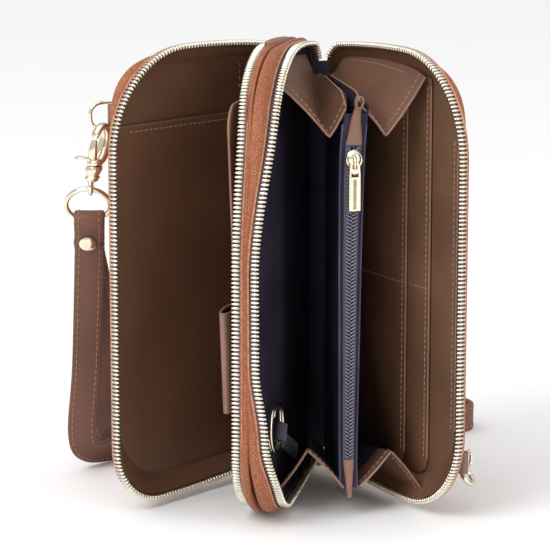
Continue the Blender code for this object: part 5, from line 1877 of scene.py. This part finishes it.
# Wrist strap
# One long strap of smooth leather, stitched along both edges, folded over the ring and
# riveted below it. It runs down beside the cover, lies behind the wallet and returns.
strap_leather = smooth_leather("strap_leather_finish", (0.20, 0.088, 0.06), (0.14, 0.06, 0.041), 0.38)
strap_half = 6.3 * MM
strap_thick = 2.4 * MM
strap_down = Vector((-0.125, 0.395, -0.912)).normalized()
strap_face = strap_down.cross(strap_across).normalized()
strap_top = ring_middle - ring_rise * ring_radius
leg_aside = strap_thick / 2 + 0.15 * MM
leg_drops = (5.2 * MM, 10.6 * MM, 16.5 * MM)
fold_aside = 2.6 * MM
fold_drops = (-0.7 * MM, 1.2 * MM)
floor_gap = 0.1 * MM


def strap_spot(side, drop):
    """A point by the strap's upper end: off its middle plane, and down from the ring."""
    return strap_top + strap_face * side + strap_down * drop


def strap_end(side):
    """The strap's points from the ring down past the rivet, on one side of its middle plane."""
    spots = [strap_spot(side * fold_aside, drop) for drop in fold_drops]
    spots += [strap_spot(side * leg_aside, drop) for drop in leg_drops]
    return [(spot, strap_across) for spot in spots]


# Down beside the cover, along the floor on its edge, and up again: points of its middle.
front_leg = scaled(((-87.5, 9.0, 52.0), (-93.0, 19.0, 19.0), (-91.0, 27.0, 8.6), (-82.0, 45.0, 6.6)))
floor_run = scaled((
    (-60.0, 76.0), (-20.0, 98.0), (25.0, 113.0), (50.0, 120.0), (60.0, 127.0), (62.0, 135.0),
    (55.0, 142.0), (40.0, 142.0), (0.0, 132.0), (-50.0, 112.0), (-88.0, 86.0),
))
back_leg = scaled(((-97.0, 70.0, 7.2), (-95.0, 58.0, 13.0), (-89.0, 44.0, 30.0), (-82.0, 20.0, 66.0)))
# How its width turns upright on the way to the floor.
roll = (Vector((0.97, 0.22, 0.1)), Vector((0.75, 0.2, 0.62)), Vector((0.3, 0.1, 0.95)))
stations = strap_end(1.0)
stations += zip(front_leg, (strap_across, *roll))
stations += [((x, y, strap_half + floor_gap), upward(1.0)) for x, y in floor_run]
stations += zip(back_leg, (*reversed(roll), strap_across))
stations += reversed(strap_end(-1.0))
for angle in (45.0, 90.0, 135.0):
    t = math.radians(angle)
    fold = strap_spot(-fold_aside * math.cos(t), fold_drops[0] - fold_aside * math.sin(t))
    stations.append((fold, strap_across))
stations.append(stations[0])
# In shares of half its width and half its thickness: the section and the rows of stitches.
strap_section = (
    (1.0, 0.5), (0.96, 0.85), (0.88, 1.0), (-0.88, 1.0), (-0.96, 0.85), (-1.0, 0.5),
    (-1.0, -0.5), (-0.96, -0.85), (-0.88, -1.0), (0.88, -1.0), (0.96, -0.85), (1.0, -0.5),
)
strap_seams = ((0.68, 1.0), (-0.68, 1.0), (0.68, -1.0), (-0.68, -1.0))
seam_half = strap_thick / 2 + 0.05 * MM
run = smooth_run([(*spot, *across) for spot, across in stations], 8)
rings = []
seams = [[], [], [], []]
for k, row in enumerate(run[:-1]):
    spot = Vector(row[:3])
    across = Vector(row[3:])
    after = run[(k + 1) % (len(run) - 1)]
    before = run[k - 1 if k else -2]
    along = (Vector(after[:3]) - Vector(before[:3])).normalized()
    across = (across - along * across.dot(along)).normalized()
    normal = along.cross(across)
    rings.append([spot + across * a * strap_half + normal * b * strap_thick / 2 for a, b in strap_section])
    for seam, (a, b) in zip(seams, strap_seams):
        seam.append(spot + across * a * strap_half + normal * b * seam_half)
rings.append(rings[0])
mesh = skin(bmesh.new(), rings, True, False)
bmesh.ops.remove_doubles(mesh, verts=mesh.verts, dist=0.001 * MM)
item = put("wrist_strap_leather", mesh, strap_leather, None, "strap_leather", ("wrist_strap",), 50.0)
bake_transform(item)
item = stitches("wrist_strap_stitches", seams, None, pitch=3.1 * MM, length=2.1 * MM)
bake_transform(item)

rivet_drop = 10.0 * MM
rivet_aside = 0.6 * MM
rivet_deep = strap_thick + 0.85 * MM
rivet_cap = scaled(((0.6, 0.95), (2.0, 0.85), (3.1, 0.45), (3.6, 0.0), (1.3, 0.0)))
rivet_middle = strap_spot(0.0, rivet_drop) - strap_across * rivet_aside
rivet_stops = [(radius, -height - rivet_deep) for radius, height in rivet_cap]
rivet_stops += [(radius, height + rivet_deep) for radius, height in reversed(rivet_cap)]
rings = []
for radius, height in rivet_stops:
    centre = rivet_middle + strap_face * height
    rings.append(round_ring(centre, strap_across, strap_face.cross(strap_across), radius, 28))
put("strap_rivet_cap", skin(bmesh.new(), rings), gold, "left_cover", "pale_gold", ("strap_rivet",), 50.0)


# Floor
# A plain white studio floor that runs far beyond the frame.
white_floor = mottled("white_floor", {"Roughness": 0.9, "Specular IOR Level": 0.1}, 3.0,
                      (0.93, 0.93, 0.93), (0.95, 0.95, 0.95))
floor_half = 6.0
mesh = bmesh.new()
bmesh.ops.create_grid(mesh, x_segments=1, y_segments=1, size=floor_half)
data = bpy.data.meshes.new("floor")
mesh.to_mesh(data)
mesh.free()
data.materials.append(white_floor)
floor = bpy.data.objects.new("floor", data)
bpy.context.collection.objects.link(floor)
